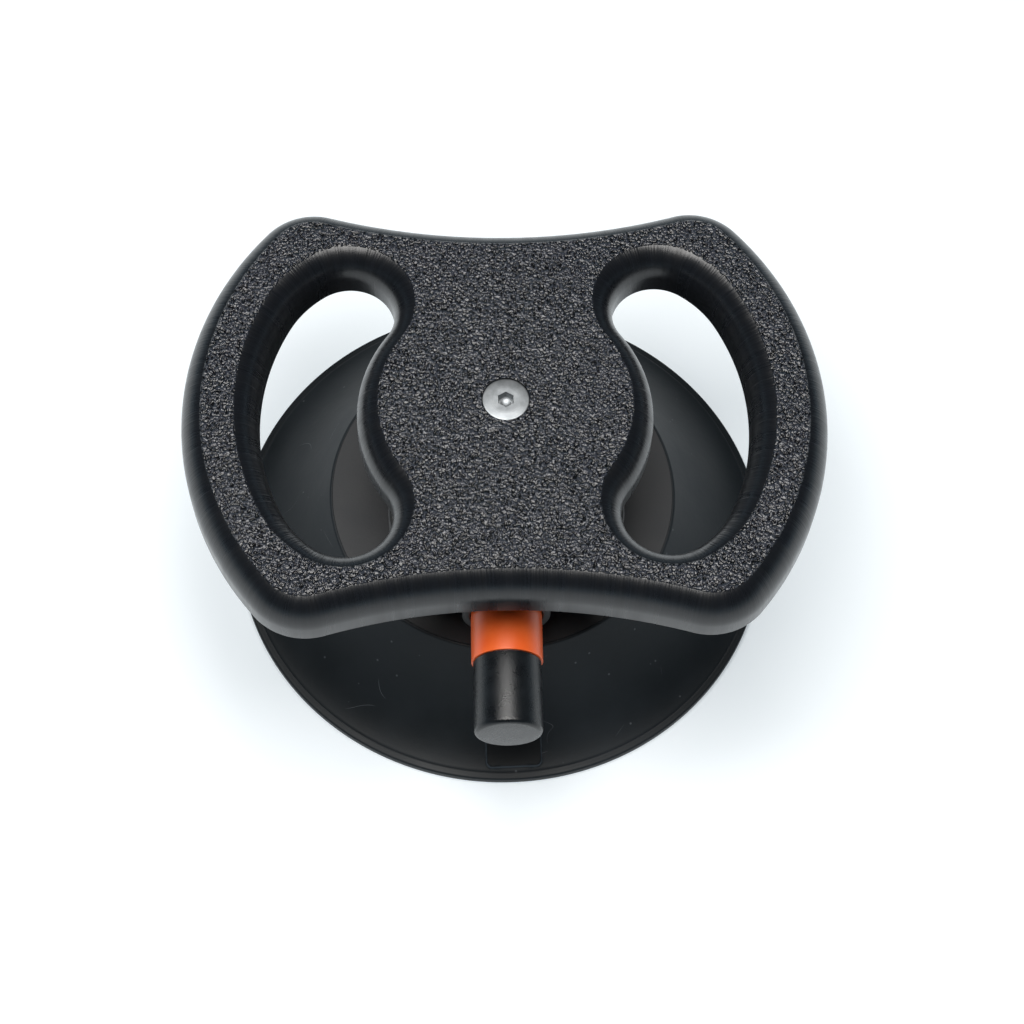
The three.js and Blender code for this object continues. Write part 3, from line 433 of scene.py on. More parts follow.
screw_steel = turned_metal("satin_stainless_steel", "#7f8386", "#999da0", (0.40, 0.52), 0.35 * MM, 0.01 * MM)
insert_brass = turned_metal("turned_brass", "#b08d4e", "#c5a263", (0.26, 0.36), 0.3 * MM, 0.008 * MM)
anodised = turned_metal("clear_anodised_aluminium", "#a5a8ac", "#b6b9bc", (0.34, 0.46), 0.4 * MM, 0.01 * MM)
spring_wire = turned_metal("drawn_spring_wire", "#8d8f91", "#a6a8a9", (0.28, 0.4), 0.5 * MM, 0.004 * MM)
black_oxide = turned_metal("black_oxide_steel", "#26272a", "#34363a", (0.42, 0.55), 0.3 * MM, 0.006 * MM)

# %% [markdown]
# The air filter is pressed wool felt: a soft mat of fibres with a strong sheen
# at a low angle and no gloss at all.

# %% Pressed felt
def pressed_felt():
    felt, tree, shader = new_finish("pressed_wool_felt", {
        "IOR": 1.5, "Sheen Weight": 0.5, "Sheen Roughness": 0.6,
    })
    place = object_place(tree)
    fibres = noise(tree, place, 0.35 * MM, 4.0, 0.7, 2.0)
    link(ramp(tree, fibres, [(0.3, "#6f6a60"), (0.7, "#a39d8f")]), shader, "Base Color")
    link(spread(tree, fibres, 0.85, 0.98), shader, "Roughness")
    link(bump(tree, fibres, 0.25 * MM), shader, "Normal")
    return felt


wool_felt = pressed_felt()
print("finishes:", ", ".join(sorted(m.name for m in bpy.data.materials)))

# %% [markdown]
# ## The grab plate
#
# Every curve of the plate's plan is an arc, so the plan is a chain of arcs that
# touch. Drawing the chain in by an inset only changes each radius, which is how
# the router's round-over is made: each step down the edge is the same chain at
# another inset and height. A quarter of the plate is worked out and mirrored
# twice, and the faces between the outlines are stretched as grids from one
# chain to another, so no hole has to be cut.

# %% The plan as chains of arcs
SIDE_RADIUS = 113 * MM
WAIST = 144 * MM
SCALLOP_RADIUS = 224 * MM
CORNER = 23 * MM
GRIP = 26.75 * MM
LOBE_RADIUS = 52 * MM
HOLE_NECK = 0.925 * MM
HOLE_END_ANGLE = np.radians(35.8)
HOLE_BLEND = 21 * MM


def chain_points(arcs, places, inset):
    """Points on a chain of arcs. A place's whole part picks the arc and the rest
    is the share of the way along it; the point is the arc's centre plus its
    radius, changed by the inset, times (cos a, sin a)."""
    x, y, radius, sign, start, end = np.array(arcs).T
    which = np.clip(places.astype(int), 0, len(arcs) - 1)
    angle = start[which] + (end - start)[which] * (places - which)
    reach = radius[which] + sign[which] * inset
    return np.stack([x[which] + reach * np.cos(angle), y[which] + reach * np.sin(angle)], axis=1)


def outer_arcs():
    """A quarter of the outside: the side about the screw, the corner, and half
    of the hollow front. The corner's centre lies where circles about the other
    two centres cross, so that the three arcs touch."""
    scallop_y = WAIST / 2 + SCALLOP_RADIUS
    reach, span = SIDE_RADIUS - CORNER, SCALLOP_RADIUS + CORNER
    corner_y = (reach ** 2 + scallop_y ** 2 - span ** 2) / (2 * scallop_y)
    corner_x = np.sqrt(reach ** 2 - corner_y ** 2)
    side_end = np.arctan2(corner_y, corner_x)
    corner_end = np.arctan2(scallop_y - corner_y, -corner_x)
    return [
        (0, 0, SIDE_RADIUS, -1, 0, side_end),
        (corner_x, corner_y, CORNER, -1, side_end, corner_end),
        (0, scallop_y, SCALLOP_RADIUS, 1, corner_end - np.pi, -np.pi / 2),
    ]


def hole_arcs():
    """Half of a hand hole: its outer side, a wide blend, the round end and the
    inner side. The last arc is split where the end's arc faces the middle."""
    grip_radius = SIDE_RADIUS - GRIP
    end_radius = (grip_radius - LOBE_RADIUS) / 2 - HOLE_NECK
    blend_radius = end_radius + HOLE_BLEND
    end_reach, blend_reach = LOBE_RADIUS + end_radius, grip_radius - blend_radius
    cosine = (blend_reach ** 2 + end_reach ** 2 - HOLE_BLEND ** 2) / (2 * blend_reach * end_reach)
    blend_angle = HOLE_END_ANGLE - np.arccos(cosine)
    end = end_reach * np.array([np.cos(HOLE_END_ANGLE), np.sin(HOLE_END_ANGLE)])
    blend = blend_reach * np.array([np.cos(blend_angle), np.sin(blend_angle)])
    blend_end = np.arctan2(*(end - blend)[::-1])
    return [
        (0, 0, grip_radius, 1, 0, blend_angle),
        (*blend, blend_radius, 1, blend_angle, blend_end),
        (*end, end_radius, 1, blend_end, np.pi),
        (*end, end_radius, 1, np.pi, HOLE_END_ANGLE + np.pi),
        (0, 0, LOBE_RADIUS, -1, HOLE_END_ANGLE, 0),
    ]


# %% The edge's profile
ROUND_OVER = 12.7 * MM
ROUND_OVER_START = np.radians(22.4)
UNDER_EDGE = 1.2 * MM
EDGE_BREAK = 0.5 * MM
UNDER_STEPS = 9


def edge_profile():
    """Inset and height up the edge: a small quarter round, an upright wall, the
    large round-over that stops at a slope, and a tiny round onto the flat."""
    thickness = plate_high.z - plate_low.z
    under = np.radians(np.linspace(0, 90, UNDER_STEPS))
    over = np.linspace(np.pi / 2, ROUND_OVER_START, 25)
    last = np.linspace(ROUND_OVER_START, 0, 5)[1:]
    lip = thickness - EDGE_BREAK * (1 - np.cos(ROUND_OVER_START))
    over_inset = ROUND_OVER * (1 - np.sin(over))
    over_height = lip - ROUND_OVER * (np.cos(ROUND_OVER_START) - np.cos(over))
    last_inset = over_inset[-1] + EDGE_BREAK * (np.sin(ROUND_OVER_START) - np.sin(last))
    last_height = lip + EDGE_BREAK * (np.cos(last) - np.cos(ROUND_OVER_START))
    inset = np.concatenate([UNDER_EDGE * (1 - np.sin(under)), over_inset, last_inset])
    height = np.concatenate([UNDER_EDGE * (1 - np.cos(under)), over_height, last_height])
    return inset, plate_low.z + height


edge_inset, edge_height = edge_profile()
print("edge steps:", len(edge_inset), "top inset in mm:", round(edge_inset[-1] / MM, 2))

# %% A quarter of the plate
def wall(arcs, places):
    """The chain at every inset and height of the edge's profile, with a UV map of
    metres along the chain and metres up the profile."""
    rows = np.stack([
        np.column_stack([chain_points(arcs, places, inset), np.full(len(places), height)])
        for inset, height in zip(edge_inset, edge_height)
    ])
    along = np.cumsum(np.r_[0, np.hypot(*np.diff(rows[UNDER_STEPS - 1, :, :2], axis=0).T)])
    up = np.cumsum(np.r_[0, np.hypot(np.diff(edge_inset), np.diff(edge_height))])
    return rows, np.stack(np.meshgrid(along, up), axis=2)


def ruled(first, second, height, steps):
    """A flat grid whose rows run from each point of one chain to the point of
    the other with the same number: (1 - t) times the first plus t the second."""
    t = np.linspace(0, 1, steps)[:, None, None]
    flat = first * (1 - t) + second * t
    return np.concatenate([flat, np.full((*flat.shape[:2], 1), height)], axis=2)


def between(marks, counts):
    """Places that run evenly from mark to mark, with the given count in each."""
    parts = [np.linspace(a, b, n, endpoint=False) for a, b, n in zip(marks, marks[1:], counts)]
    return np.concatenate([*parts, [marks[-1]]])


def flat_face(level, hub_radius):
    """A quarter of one flat face. A straight seam joins the hole to the middle
    line. Outside the hole and the seam a grid runs to the outer edge, and
    inside them another grid runs to the screw hole at the centre."""
    inset, height = edge_inset[level], edge_height[level]
    hole_out = chain_points(hole_arcs(), HOLE_OUT, inset)
    hole_in = chain_points(hole_arcs(), HOLE_IN[::-1], inset)
    seam = np.linspace(hole_out[-1], [0, hole_out[-1, 1]], SEAM_COUNT + 1)[1:]
    outside = chain_points(outer_arcs(), OUTER, inset)
    inside = np.concatenate([hole_in, seam])
    angle = np.linspace(0, np.pi / 2, len(inside))
    hub = hub_radius * np.stack([np.cos(angle), np.sin(angle)], axis=1)
    return [
        ruled(np.concatenate([hole_out, seam]), outside, height, 5),
        ruled(hub, inside, height, 9),
    ]


# How many points go on each stretch, so that a point and its partner on the
# other chain face each other and no line between them crosses the hole.
SEAM_COUNT = 20
HOLE_OUT = between([0, 1, 2, 3], [36, 18, 56])
HOLE_IN = between([3, 4, 5], [22, 44])
OUTER = between([0, 0.67, 1, 1.235, 2, 2.65, 3], [36, 9, 9, 18, 38, SEAM_COUNT])
assert len(OUTER) == len(HOLE_OUT) + SEAM_COUNT

# %% The whole plate
SCREW_HEAD_RADIUS = 8.15 * MM
SCREW_RADIUS = 4 * MM
HEAD_RIM = 0.4 * MM
FIT = 0.3 * MM


def plate_grids():
    """All the grids of a quarter, then the same with X, Y or both mirrored."""
    top, bottom = plate_high.z, plate_low.z
    hole = np.concatenate([HOLE_OUT[:-1], HOLE_IN])
    rim = top - HEAD_RIM
    neck = rim - (SCREW_HEAD_RADIUS - SCREW_RADIUS)
    sink = np.array([
        (SCREW_RADIUS + FIT, bottom), (SCREW_RADIUS + FIT, neck),
        (SCREW_HEAD_RADIUS + FIT, rim), (SCREW_HEAD_RADIUS + FIT, top),
    ])
    quarter_turn = np.linspace(0, np.pi / 2, len(HOLE_IN) + SEAM_COUNT)
    sink_wall = np.stack([
        np.outer(sink[:, 0], np.cos(quarter_turn)),
        np.outer(sink[:, 0], np.sin(quarter_turn)),
        np.repeat(sink[:, 1:], len(quarter_turn), axis=1),
    ], axis=2)
    flats = flat_face(-1, SCREW_HEAD_RADIUS + FIT) + flat_face(0, SCREW_RADIUS + FIT) + [sink_wall]
    walls = [wall(outer_arcs(), OUTER), wall(hole_arcs(), hole)]
    grids = flats + [points for points, _ in walls]
    uvs = [np.zeros((*g.shape[:2], 2)) for g in flats] + [uv for _, uv in walls]
    sides = [(1, 1, 1), (-1, 1, 1), (1, -1, 1), (-1, -1, 1)]
    return [g * side for side in sides for g in grids], uvs * 4


grids, uvs = plate_grids()
plate_mesh = mesh_of_grids("plate_board", grids, uvs)
piece("plate_board", plate_mesh, board, "housing", ["grab_plate"])

# %% [markdown]
# ## Screws
#
# A screw with a hexagonal socket is one surface: going out from the socket's
# floor each ring turns from a hexagon into a circle. The hexagon's radius at an
# angle is half its width over the cosine of the angle from the nearest flat.

# %% Rings that turn from a hexagon into a circle
SOCKET_WIDTH, SOCKET_DEPTH, SOCKET_CONE = 5 * MM, 3 * MM, 0.9 * MM
SOCKET_BREAK = 0.2 * MM
THREAD_PITCH, THREAD_DEPTH = 1.25 * MM, 0.35 * MM
CLAMP_SHANK, CLAMP_HEAD = 3 * MM, 3.4 * MM
CLAMP_SOCKET_WIDTH, CLAMP_SOCKET_DEPTH = 4 * MM, 2 * MM


def socket_screw(levels, centre, count=144):
    """Points r(a) (cos a, sin a) at height z. Each level is (kind, size, z), and
    a hexagon's r(a) is half its width over cos(a - nearest sixth of a turn)."""
    a = around(count)
    sixth = np.pi / 3
    from_flat = a - np.round(a / sixth) * sixth
    rows = [
        np.full(count + 1, size) if kind == "round" else size / 2 / np.cos(from_flat)
        for kind, size, z in levels
    ]
    heights = np.repeat([[z] for _, _, z in levels], count + 1, axis=1)
    x, y = centre[0] + rows * np.cos(a), centre[1] + rows * np.sin(a)
    return np.stack([x, y, heights], axis=2)


def countersunk_screw():
    low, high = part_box("plate_screw")
    rim, width = high.z - HEAD_RIM, SOCKET_WIDTH
    neck = rim - (SCREW_HEAD_RADIUS - SCREW_RADIUS)
    floor = high.z - SOCKET_DEPTH
    levels = [
        ("round", 0, floor - SOCKET_CONE), ("round", 1.9 * MM, floor), ("hexagon", width, floor),
        ("hexagon", width, high.z - SOCKET_BREAK), ("hexagon", width + SOCKET_BREAK, high.z - 0.06 * MM),
        ("hexagon", width + 1.6 * SOCKET_BREAK, high.z), ("round", 4.2 * MM, high.z),
        ("round", SCREW_HEAD_RADIUS - 0.35 * MM, high.z),
        ("round", SCREW_HEAD_RADIUS - 0.1 * MM, high.z - 0.08 * MM),
        ("round", SCREW_HEAD_RADIUS, high.z - 0.3 * MM), ("round", SCREW_HEAD_RADIUS, rim),
        ("round", SCREW_RADIUS, neck),
    ]
    for turn in range(int((neck - low.z - 1.5 * MM) / THREAD_PITCH)):
        crest = neck - 0.3 * MM - turn * THREAD_PITCH
        levels += [
            ("round", SCREW_RADIUS, crest), ("round", SCREW_RADIUS - THREAD_DEPTH, crest - THREAD_PITCH / 2)]
    levels += [("round", SCREW_RADIUS - 0.8 * MM, low.z), ("round", 0, low.z)]
    return socket_screw(levels, (0, 0))


piece("countersunk_plate_screw", [countersunk_screw()], screw_steel, "housing", ["plate_screw"])

# %% [markdown]
# The four screws that clamp the cup are put in from below. They are pan heads
# with the same kind of socket, so the same function turns them upside down.

# %% Clamp screws
SCREW_PLACES = []


def clamp_screw(node):
    low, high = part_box(node)
    centre = ((low.x + high.x) / 2, (low.y + high.y) / 2)
    SCREW_PLACES.append(centre)
    radius, shank, width = (high.x - low.x) / 2, CLAMP_SHANK, CLAMP_SOCKET_WIDTH
    shoulder, floor = low.z + CLAMP_HEAD, low.z + CLAMP_SOCKET_DEPTH
    levels = [
        ("round", 0, floor + 0.4 * MM), ("round", 1.4 * MM, floor), ("hexagon", width, floor),
        ("hexagon", width, low.z + SOCKET_BREAK), ("hexagon", width + 0.3 * MM, low.z),
        ("round", radius - 1.3 * MM, low.z),
        ("round", radius - 0.75 * MM, low.z + 0.14 * MM), ("round", radius - 0.3 * MM, low.z + 0.5 * MM),
        ("round", radius - 0.05 * MM, low.z + 1 * MM), ("round", radius, low.z + 1.5 * MM),
        ("round", radius, shoulder - 0.2 * MM), ("round", radius - 0.2 * MM, shoulder),
        ("round", shank, shoulder), ("round", shank, high.z - 0.6 * MM),
        ("round", shank - 0.6 * MM, high.z), ("round", 0, high.z),
    ]
    return [socket_screw(levels, centre, 96)]


for number in (1, 2, 3, 4):
    node = f"clamp_screw_{number}"
    piece(f"pan_head_screw_{number}", clamp_screw(node), screw_steel, "housing", [node])

# %% [markdown]
# ## The plunger
#
# The band, cap, collar and tube are all turned shapes about the pump's axis.
# Each is one closed profile with small rounds at its corners, swept once round.

# %% Turned pieces on the pump's axis
BAND_BORE, STEM_BORE, BARREL_BORE, COLLAR_BORE = 11.4 * MM, 9 * MM, 14.2 * MM, 12.85 * MM
SPIGOT_RADIUS = 14.05 * MM
COLLAR_FLANGE = 3.4 * MM
CAP_WALL = 8 * MM


def pump_ring(name, node, bore, corner_round, finish, body):
    """A plain ring from a node's rear to its front: its wall runs from the bore
    to the node's own outer radius, and all four corners are rounded."""
    rear, front, outer = pump_extent(node)
    middle = (bore + outer) / 2
    profile = rounded(
        [(middle, rear), (outer, rear), (outer, front), (bore, front), (bore, rear), (middle, rear)],
        [0, *[corner_round] * 4, 0])
    piece(name, [along_pump(lathe(profile))], finish, body, [node])


pump_ring("vacuum_band", "indicator_band", BAND_BORE, 0.25, orange_abs, "plunger")
pump_ring("plunger_stem", "plunger_tube", STEM_BORE, 0.3, anodised, "plunger")
pump_ring("pump_barrel_tube", "pump_barrel", BARREL_BORE, 0.2, anodised, "housing")


def push_cap_points():
    """The cap's closed profile: bore, rear lip, side, round front corner and a
    face that is crowned by a fifth of a millimetre, swept about the axis."""
    rear, front, outer = pump_extent("push_cap")
    recess = front - CAP_WALL
    profile = rounded(
        [(0, recess), (BAND_BORE, recess), (BAND_BORE, rear), (outer, rear), (outer, front - 0.2 * MM),
         (outer * 0.5, front - 0.05 * MM), (0, front)],
        [0, 0.6, 0.15, 0.2, 1.7, 6, 0], steps=10)
    return along_pump(lathe(profile[::-1], count=160))


piece("push_button_cap", [push_cap_points()], cap_abs, "plunger", ["push_cap"])


def collar_points():
    """The collar's flange and the thinner spigot behind it, as one closed profile."""
    rear, front, outer = pump_extent("barrel_collar")
    bore, spigot, shoulder = COLLAR_BORE, SPIGOT_RADIUS, front - COLLAR_FLANGE
    profile = rounded(
        [(bore, rear + 1 * MM), (bore, rear), (spigot, rear), (spigot, shoulder), (outer, shoulder),
         (outer, front), (bore, front), (bore, rear + 1 * MM)],
        [0, 0.2, 0.2, 0.1, 0.3, 0.8, 0.6, 0])
    return along_pump(lathe(profile))


piece("front_collar", [collar_points()], collar_nylon, "housing", ["barrel_collar"])

# %% [markdown]
# ## Springs
#
# A coil spring is a round wire carried along a helix. Its middle line is
# (R cos a, R sin a, z), and the wire's circle stands across it. The last turn at
# each end is wound closer, as on a real spring, so that it sits flat.

# %% Wire along a helix
def helix(radius, wire, turns, low, high, per_turn=36, sides=12):
    """Points P(a) + w (cos b N + sin b B): P is the helix, N points away from
    the axis, B is square to N and to the wire, w is the wire's radius and b
    runs round the wire. The ends shrink to points, which closes them."""
    share = np.linspace(0, 1, int(turns * per_turn) + 1)
    a = 2 * np.pi * turns * share
    closed = wire * 1.6 / (high - low - 2 * wire)
    rise = np.interp(share * turns, [0, 0.9, turns - 0.9, turns], [0, closed, 1 - closed, 1])
    z = low + wire + (high - low - 2 * wire) * rise
    middle = np.stack([radius * np.cos(a), radius * np.sin(a), z], axis=1)
    out = np.stack([np.cos(a), np.sin(a), np.zeros_like(a)], axis=1)
    forward = np.gradient(middle, axis=0)
    forward /= np.linalg.norm(forward, axis=1)[:, None]
    across = np.cross(forward, out)
    b = around(sides)[None, :, None]
    size = np.full(len(a), wire)
    size[[0, -1]] = 0
    return middle[:, None] + size[:, None, None] * (np.cos(b) * out[:, None] + np.sin(b) * across[:, None])


def closed_helix(*sizes):
    """The same tube with its first and last full circles doubled, so that the
    flat ends stand square to the wire."""
    tube = helix(*sizes)
    middle_first, middle_last = tube[0, 0], tube[-1, 0]
    first = tube[1] - tube[1].mean(axis=0) + middle_first
    last = tube[-2] - tube[-2].mean(axis=0) + middle_last
    return np.concatenate([tube[:1], first[None], tube[1:-1], last[None], tube[-1:]])


RETURN_COIL = (10.2 * MM, 0.8 * MM, 7)
VALVE_COIL = (3.2 * MM, 0.25 * MM, 3)


def spring(name, node, body, coil, upright=False):
    """A coil (radius, wire radius, turns) between its node's own two ends, along
    the pump or standing upright. Gives back the piece and the node's box."""
    low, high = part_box(node)
    if upright:
        wire = closed_helix(*coil, low.z, high.z) + np.array([0, (low.y + high.y) / 2, 0])
    else:
        wire = along_pump(closed_helix(*coil, -high.y, -low.y))
    return piece(name, [wire], spring_wire, body, [node]), low, high


return_spring, low, high = spring("return_spring", "plunger_spring", "housing", RETURN_COIL)
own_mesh(return_spring)

inlet_spring, low, high = spring("inlet_spring", "inlet_valve_spring", "housing", VALVE_COIL, upright=True)
INLET_Y = (low.y + high.y) / 2
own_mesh(inlet_spring)

exhaust_spring, low, high = spring("exhaust_spring", "exhaust_valve_spring", "plunger", VALVE_COIL)
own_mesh(exhaust_spring)

# %% [markdown]
# ## The rubber cup
#
# The cup is one moulding: a flat web that the two discs clamp, a lip round the
# upper disc, a hollow skirt that flares out to a soft rim, and a tab on the
# skirt to lift the rim by. The section is a closed profile. The tab is the only
# thing that isn't round, so the profile is swept on a grid whose angles are
# closer together there, and the skirt's points rise where the tab is.

# %% The cup's section
cup_low, cup_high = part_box("vacuum_cup")
disc_low, disc_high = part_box("base_plate")
clamp_low, clamp_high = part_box("clamp_disc")
CUP_RADIUS = (cup_high.x - cup_low.x) / 2
BASE_RADIUS = (disc_high.x - disc_low.x) / 2
CLAMP_RADIUS = (clamp_high.x - clamp_low.x) / 2
WEB_TOP = disc_low.z - FIT
WEB_BOTTOM = clamp_high.z + FIT
LIP_FIT = 0.04 * MM
ROOF_MARGIN, RIM_WIDTH, BELLY_REACH, BELLY_RISE = 2.5 * MM, 8.5 * MM, 0.56, 0.1
RIM_ROUND, RIM_HEIGHT, LIP_WIDTH = 1.2 * MM, 3.2 * MM, 0.9 * MM
FLARE_REACH, FLARE_RISE = 0.545, 0.133
LINE_DEPTH, LINE_PLACE, LINE_WIDTH = 0.18 * MM, 2.6 * MM, 0.3 * MM


def bezier(start, control, end, count):
    """A curve pulled from start to end towards one control point:
    (1 - t)^2 start + 2 t (1 - t) control + t^2 end."""
    t = np.linspace(0, 1, count)[:, None]
    start, control, end = (np.array(p, float) for p in (start, control, end))
    return (1 - t) ** 2 * start + 2 * t * (1 - t) * control + t ** 2 * end


def cup_section():
    """The closed profile from the middle of the web's underside, out along the
    hollow, round the rim, up the skirt and over the lip to the web's top. It
    also says how much each point belongs to the skirt's upper side."""
    roof, foot = (CLAMP_RADIUS + ROOF_MARGIN, WEB_BOTTOM), (CUP_RADIUS - RIM_WIDTH, 0)
    belly = (roof[0] + (foot[0] - roof[0]) * BELLY_REACH, roof[1] * BELLY_RISE)
    hollow = bezier(roof, belly, foot, 34)
    rim, shoulder = (CUP_RADIUS - RIM_ROUND, RIM_HEIGHT), (BASE_RADIUS + LIP_WIDTH, cup_high.z)
    flare = (shoulder[0] + (rim[0] - shoulder[0]) * FLARE_REACH, rim[1] + (shoulder[1] - rim[1]) * FLARE_RISE)
    skirt = bezier(rim, flare, shoulder, 96)[:-1]
    skirt[:, 1] -= LINE_DEPTH * np.exp(-((skirt[:, 0] - CUP_RADIUS + LINE_PLACE) / LINE_WIDTH) ** 2)
    edge = rounded([foot, (CUP_RADIUS, 0), (CUP_RADIUS, rim[1] - 0.1 * MM), rim], [0, 0.3, 0.9, 0])[1:-1]
    inner = BASE_RADIUS + LIP_FIT
    lip = rounded(
        [skirt[-1], shoulder, (inner, cup_high.z), (inner, WEB_TOP), (0, WEB_TOP)],
        [0, 1.2, 0.1, 0.3, 0])[1:]
    parts = [[(0, WEB_BOTTOM)], hollow, edge, skirt, lip]
    on_skirt = np.concatenate([np.full(len(p), i == 3) for i, p in enumerate(parts)])
    return np.concatenate(parts), on_skirt


# %% The lifting tab and the whole cup
TAB_WIDTH, TAB_LENGTH, TAB_MARGIN, TAB_RISE = 21 * MM, 24 * MM, 4.0 * MM, 1.0 * MM
TAB_CORNER, TAB_SLOPE = 2.5 * MM, 0.7 * MM
TAB_TURN = np.radians(1.9)


def tab_share(x, y):
    """1 on the tab and 0 off it, by way of the distance to a rounded rectangle,
    with a slope 0.7 mm wide between."""
    turned_x = x * np.cos(TAB_TURN) + y * np.sin(TAB_TURN)
    turned_y = y * np.cos(TAB_TURN) - x * np.sin(TAB_TURN)
    middle = TAB_MARGIN + TAB_LENGTH / 2 - CUP_RADIUS
    dx = np.abs(turned_x) - TAB_WIDTH / 2 + TAB_CORNER
    dy = np.abs(turned_y - middle) - TAB_LENGTH / 2 + TAB_CORNER
    outside = np.hypot(np.maximum(dx, 0), np.maximum(dy, 0)) + np.minimum(np.maximum(dx, dy), 0) - TAB_CORNER
    step = np.clip(-outside / TAB_SLOPE, 0, 1)
    return step * step * (3 - 2 * step)


def cup_points():
    """The section swept about +Z, with the skirt raised by the tab's share of
    its height. Angles are 1.2 degrees apart, and 0.22 at the tab."""
    section, on_skirt = cup_section()
    tab = np.radians(np.arange(262.5, 282.5, 0.22))
    rest = np.radians(np.linspace(282.5, 622.5, 285))
    a = np.concatenate([tab, rest])
    r, z = section.T
    x, y = np.outer(r, np.cos(a)), np.outer(r, np.sin(a))
    raised = z[:, None] + np.where(on_skirt[:, None], tab_share(x, y) * TAB_RISE, 0)
    return np.stack([x, y, raised], axis=2)


# %% Joining and cutting closed meshes
def solid(name, grids):
    made = bpy.data.objects.new(name, mesh_of_grids(name, grids))
    bpy.context.scene.collection.objects.link(made)
    return made


def carved(name, grids, joined=(), taken=()):
    """The first solid with others joined to it and the rest cut out of it, by
    Boolean modifiers that are then applied."""
    start = solid(name, grids)
    tools = [(solid(f"{name}_tool", [g]), "UNION") for g in joined]
    tools += [(solid(f"{name}_tool", [g]), "DIFFERENCE") for g in taken]
    for tool, operation in tools:
        step = start.modifiers.new("carve", "BOOLEAN")
        step.object, step.operation, step.solver = tool, operation, "MANIFOLD"
    graph = bpy.context.evaluated_depsgraph_get()
    mesh = bpy.data.meshes.new_from_object(start.evaluated_get(graph))
    for used in [start] + [tool for tool, _ in tools]:
        bpy.data.objects.remove(used)
    mesh.name = name
    return mesh


def rod(radius, low, high, centre=(0, 0), count=64):
    """A plain upright rod: its profile is a rectangle that starts and ends on the axis."""
    return lathe([(0, low), (radius, low), (radius, high), (0, high)], centre, count)


AIR_HOLE, CLAMP_HOLE = 7.5 * MM, 3.3 * MM
PAST = 1 * MM  # how far a cutting rod runs past the face it goes through


def fixing_holes(low, high):
    """The air hole and the four screw holes that pass through all the discs."""
    return [rod(AIR_HOLE, low - PAST, high + PAST, (0, INLET_Y))] + [
        rod(CLAMP_HOLE, low - PAST, high + PAST, place, 40) for place in SCREW_PLACES]


cup_mesh = carved("cup", [cup_points()], taken=fixing_holes(WEB_BOTTOM, WEB_TOP))
piece("rubber_cup", cup_mesh, cup_rubber, "housing", ["vacuum_cup"])

# The tab's outline is kept as an attribute that the rubber's colour reads, for the painted shade on the tab
# and the painted highlight round its edge.
x, y, z = np.array([v.co[:] for v in cup_mesh.vertices]).T
above = z > np.interp(np.hypot(x, y), [BASE_RADIUS, CUP_RADIUS], [20 * MM, 1 * MM])
on_tab = np.where(above, tab_share(x, y), 0.0)
cup_mesh.attributes.new("tab", "FLOAT", "POINT").data.foreach_set("value", on_tab)
print("points on the tab:", int((on_tab > 0.5).sum()))

# %% [markdown]
# ## The discs and the pump's housing
#
# The discs are turned, then drilled. The housing is a block with rounded
# corners: its plan is a rounded rectangle drawn in by an inset at each level,
# in the same way as the plate's edge.

# %% The two clamping discs
def clamping_disc(name, radius, low, high, below, above):
    profile = rounded([(0, low), (radius, low), (radius, high), (0, high)], [0, below, above, 0])
    return carved(name, [lathe(profile, count=180)], taken=fixing_holes(low, high))


base_disc = clamping_disc("base_disc", BASE_RADIUS, disc_low.z, disc_high.z, 0.3, 0.12)
piece("upper_clamp_disc", base_disc, disc_nylon, "housing", ["base_plate"])
lower_disc = clamping_disc("lower_disc", CLAMP_RADIUS, clamp_low.z, clamp_high.z, 0.8, 0.2)
piece("lower_clamp_disc", lower_disc, anodised, "housing", ["clamp_disc"])

# %% The pump's housing
body_low, body_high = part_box("pump_body")
BODY_CORNER, BODY_ROUND = 16 * MM, 1.6 * MM
BORE = (pump_high.x - pump_low.x) / 2 + FIT
BOSS_LENGTH, BOSS_WALL = 3 * MM, 2.3 * MM
GROOVE_DEPTH, GRUB_HOLE = 1.2 * MM, 2.8 * MM
INLET_POCKET, INLET_POCKET_DEPTH, INLET_BORE = 4.4 * MM, 1.4 * MM, 2 * MM
CLAMP_HOLE_DEPTH = 14 * MM


def rounded_block(low, high, corner, edge_round):
    """A block whose plan is a rounded rectangle. Along the profile the plan is
    drawn in and lifted as (1 - cos t, 1 - sin t) times the edge's radius, and
    it shrinks to a point in the middle of each end."""
    turn = np.radians(np.linspace(90, 0, 8))
    inset = np.concatenate([edge_round * (1 - np.cos(turn)), edge_round * (1 - np.cos(turn))[::-1]])
    height = np.concatenate([low[2] + edge_round * (1 - np.sin(turn)),
                             high[2] - edge_round * (1 - np.sin(turn))[::-1]])
    side = np.linspace(0, np.pi / 2, 13)
    quarter = [(1, 1, 0), (-1, 1, 1), (-1, -1, 2), (1, -1, 3)]
    angle = np.concatenate([side + q * np.pi / 2 for _, _, q in quarter] + [[0.0]])
    x_side = np.concatenate([np.full(13, sx) for sx, _, _ in quarter] + [[1]])
    y_side = np.concatenate([np.full(13, sy) for _, sy, _ in quarter] + [[1]])
    middle_x, middle_y = (low[0] + high[0]) / 2, (low[1] + high[1]) / 2
    reach_x, reach_y = (high[0] - low[0]) / 2 - corner, (high[1] - low[1]) / 2 - corner
    x = middle_x + x_side * reach_x + (corner - inset[:, None]) * np.cos(angle)
    y = middle_y + y_side * reach_y + (corner - inset[:, None]) * np.sin(angle)
    rows = np.stack([x, y, np.repeat(height[:, None], len(angle), axis=1)], axis=2)
    first = np.broadcast_to([middle_x, middle_y, low[2]], rows[:1].shape)
    last = np.broadcast_to([middle_x, middle_y, high[2]], rows[:1].shape)
    return np.concatenate([first, rows, last])


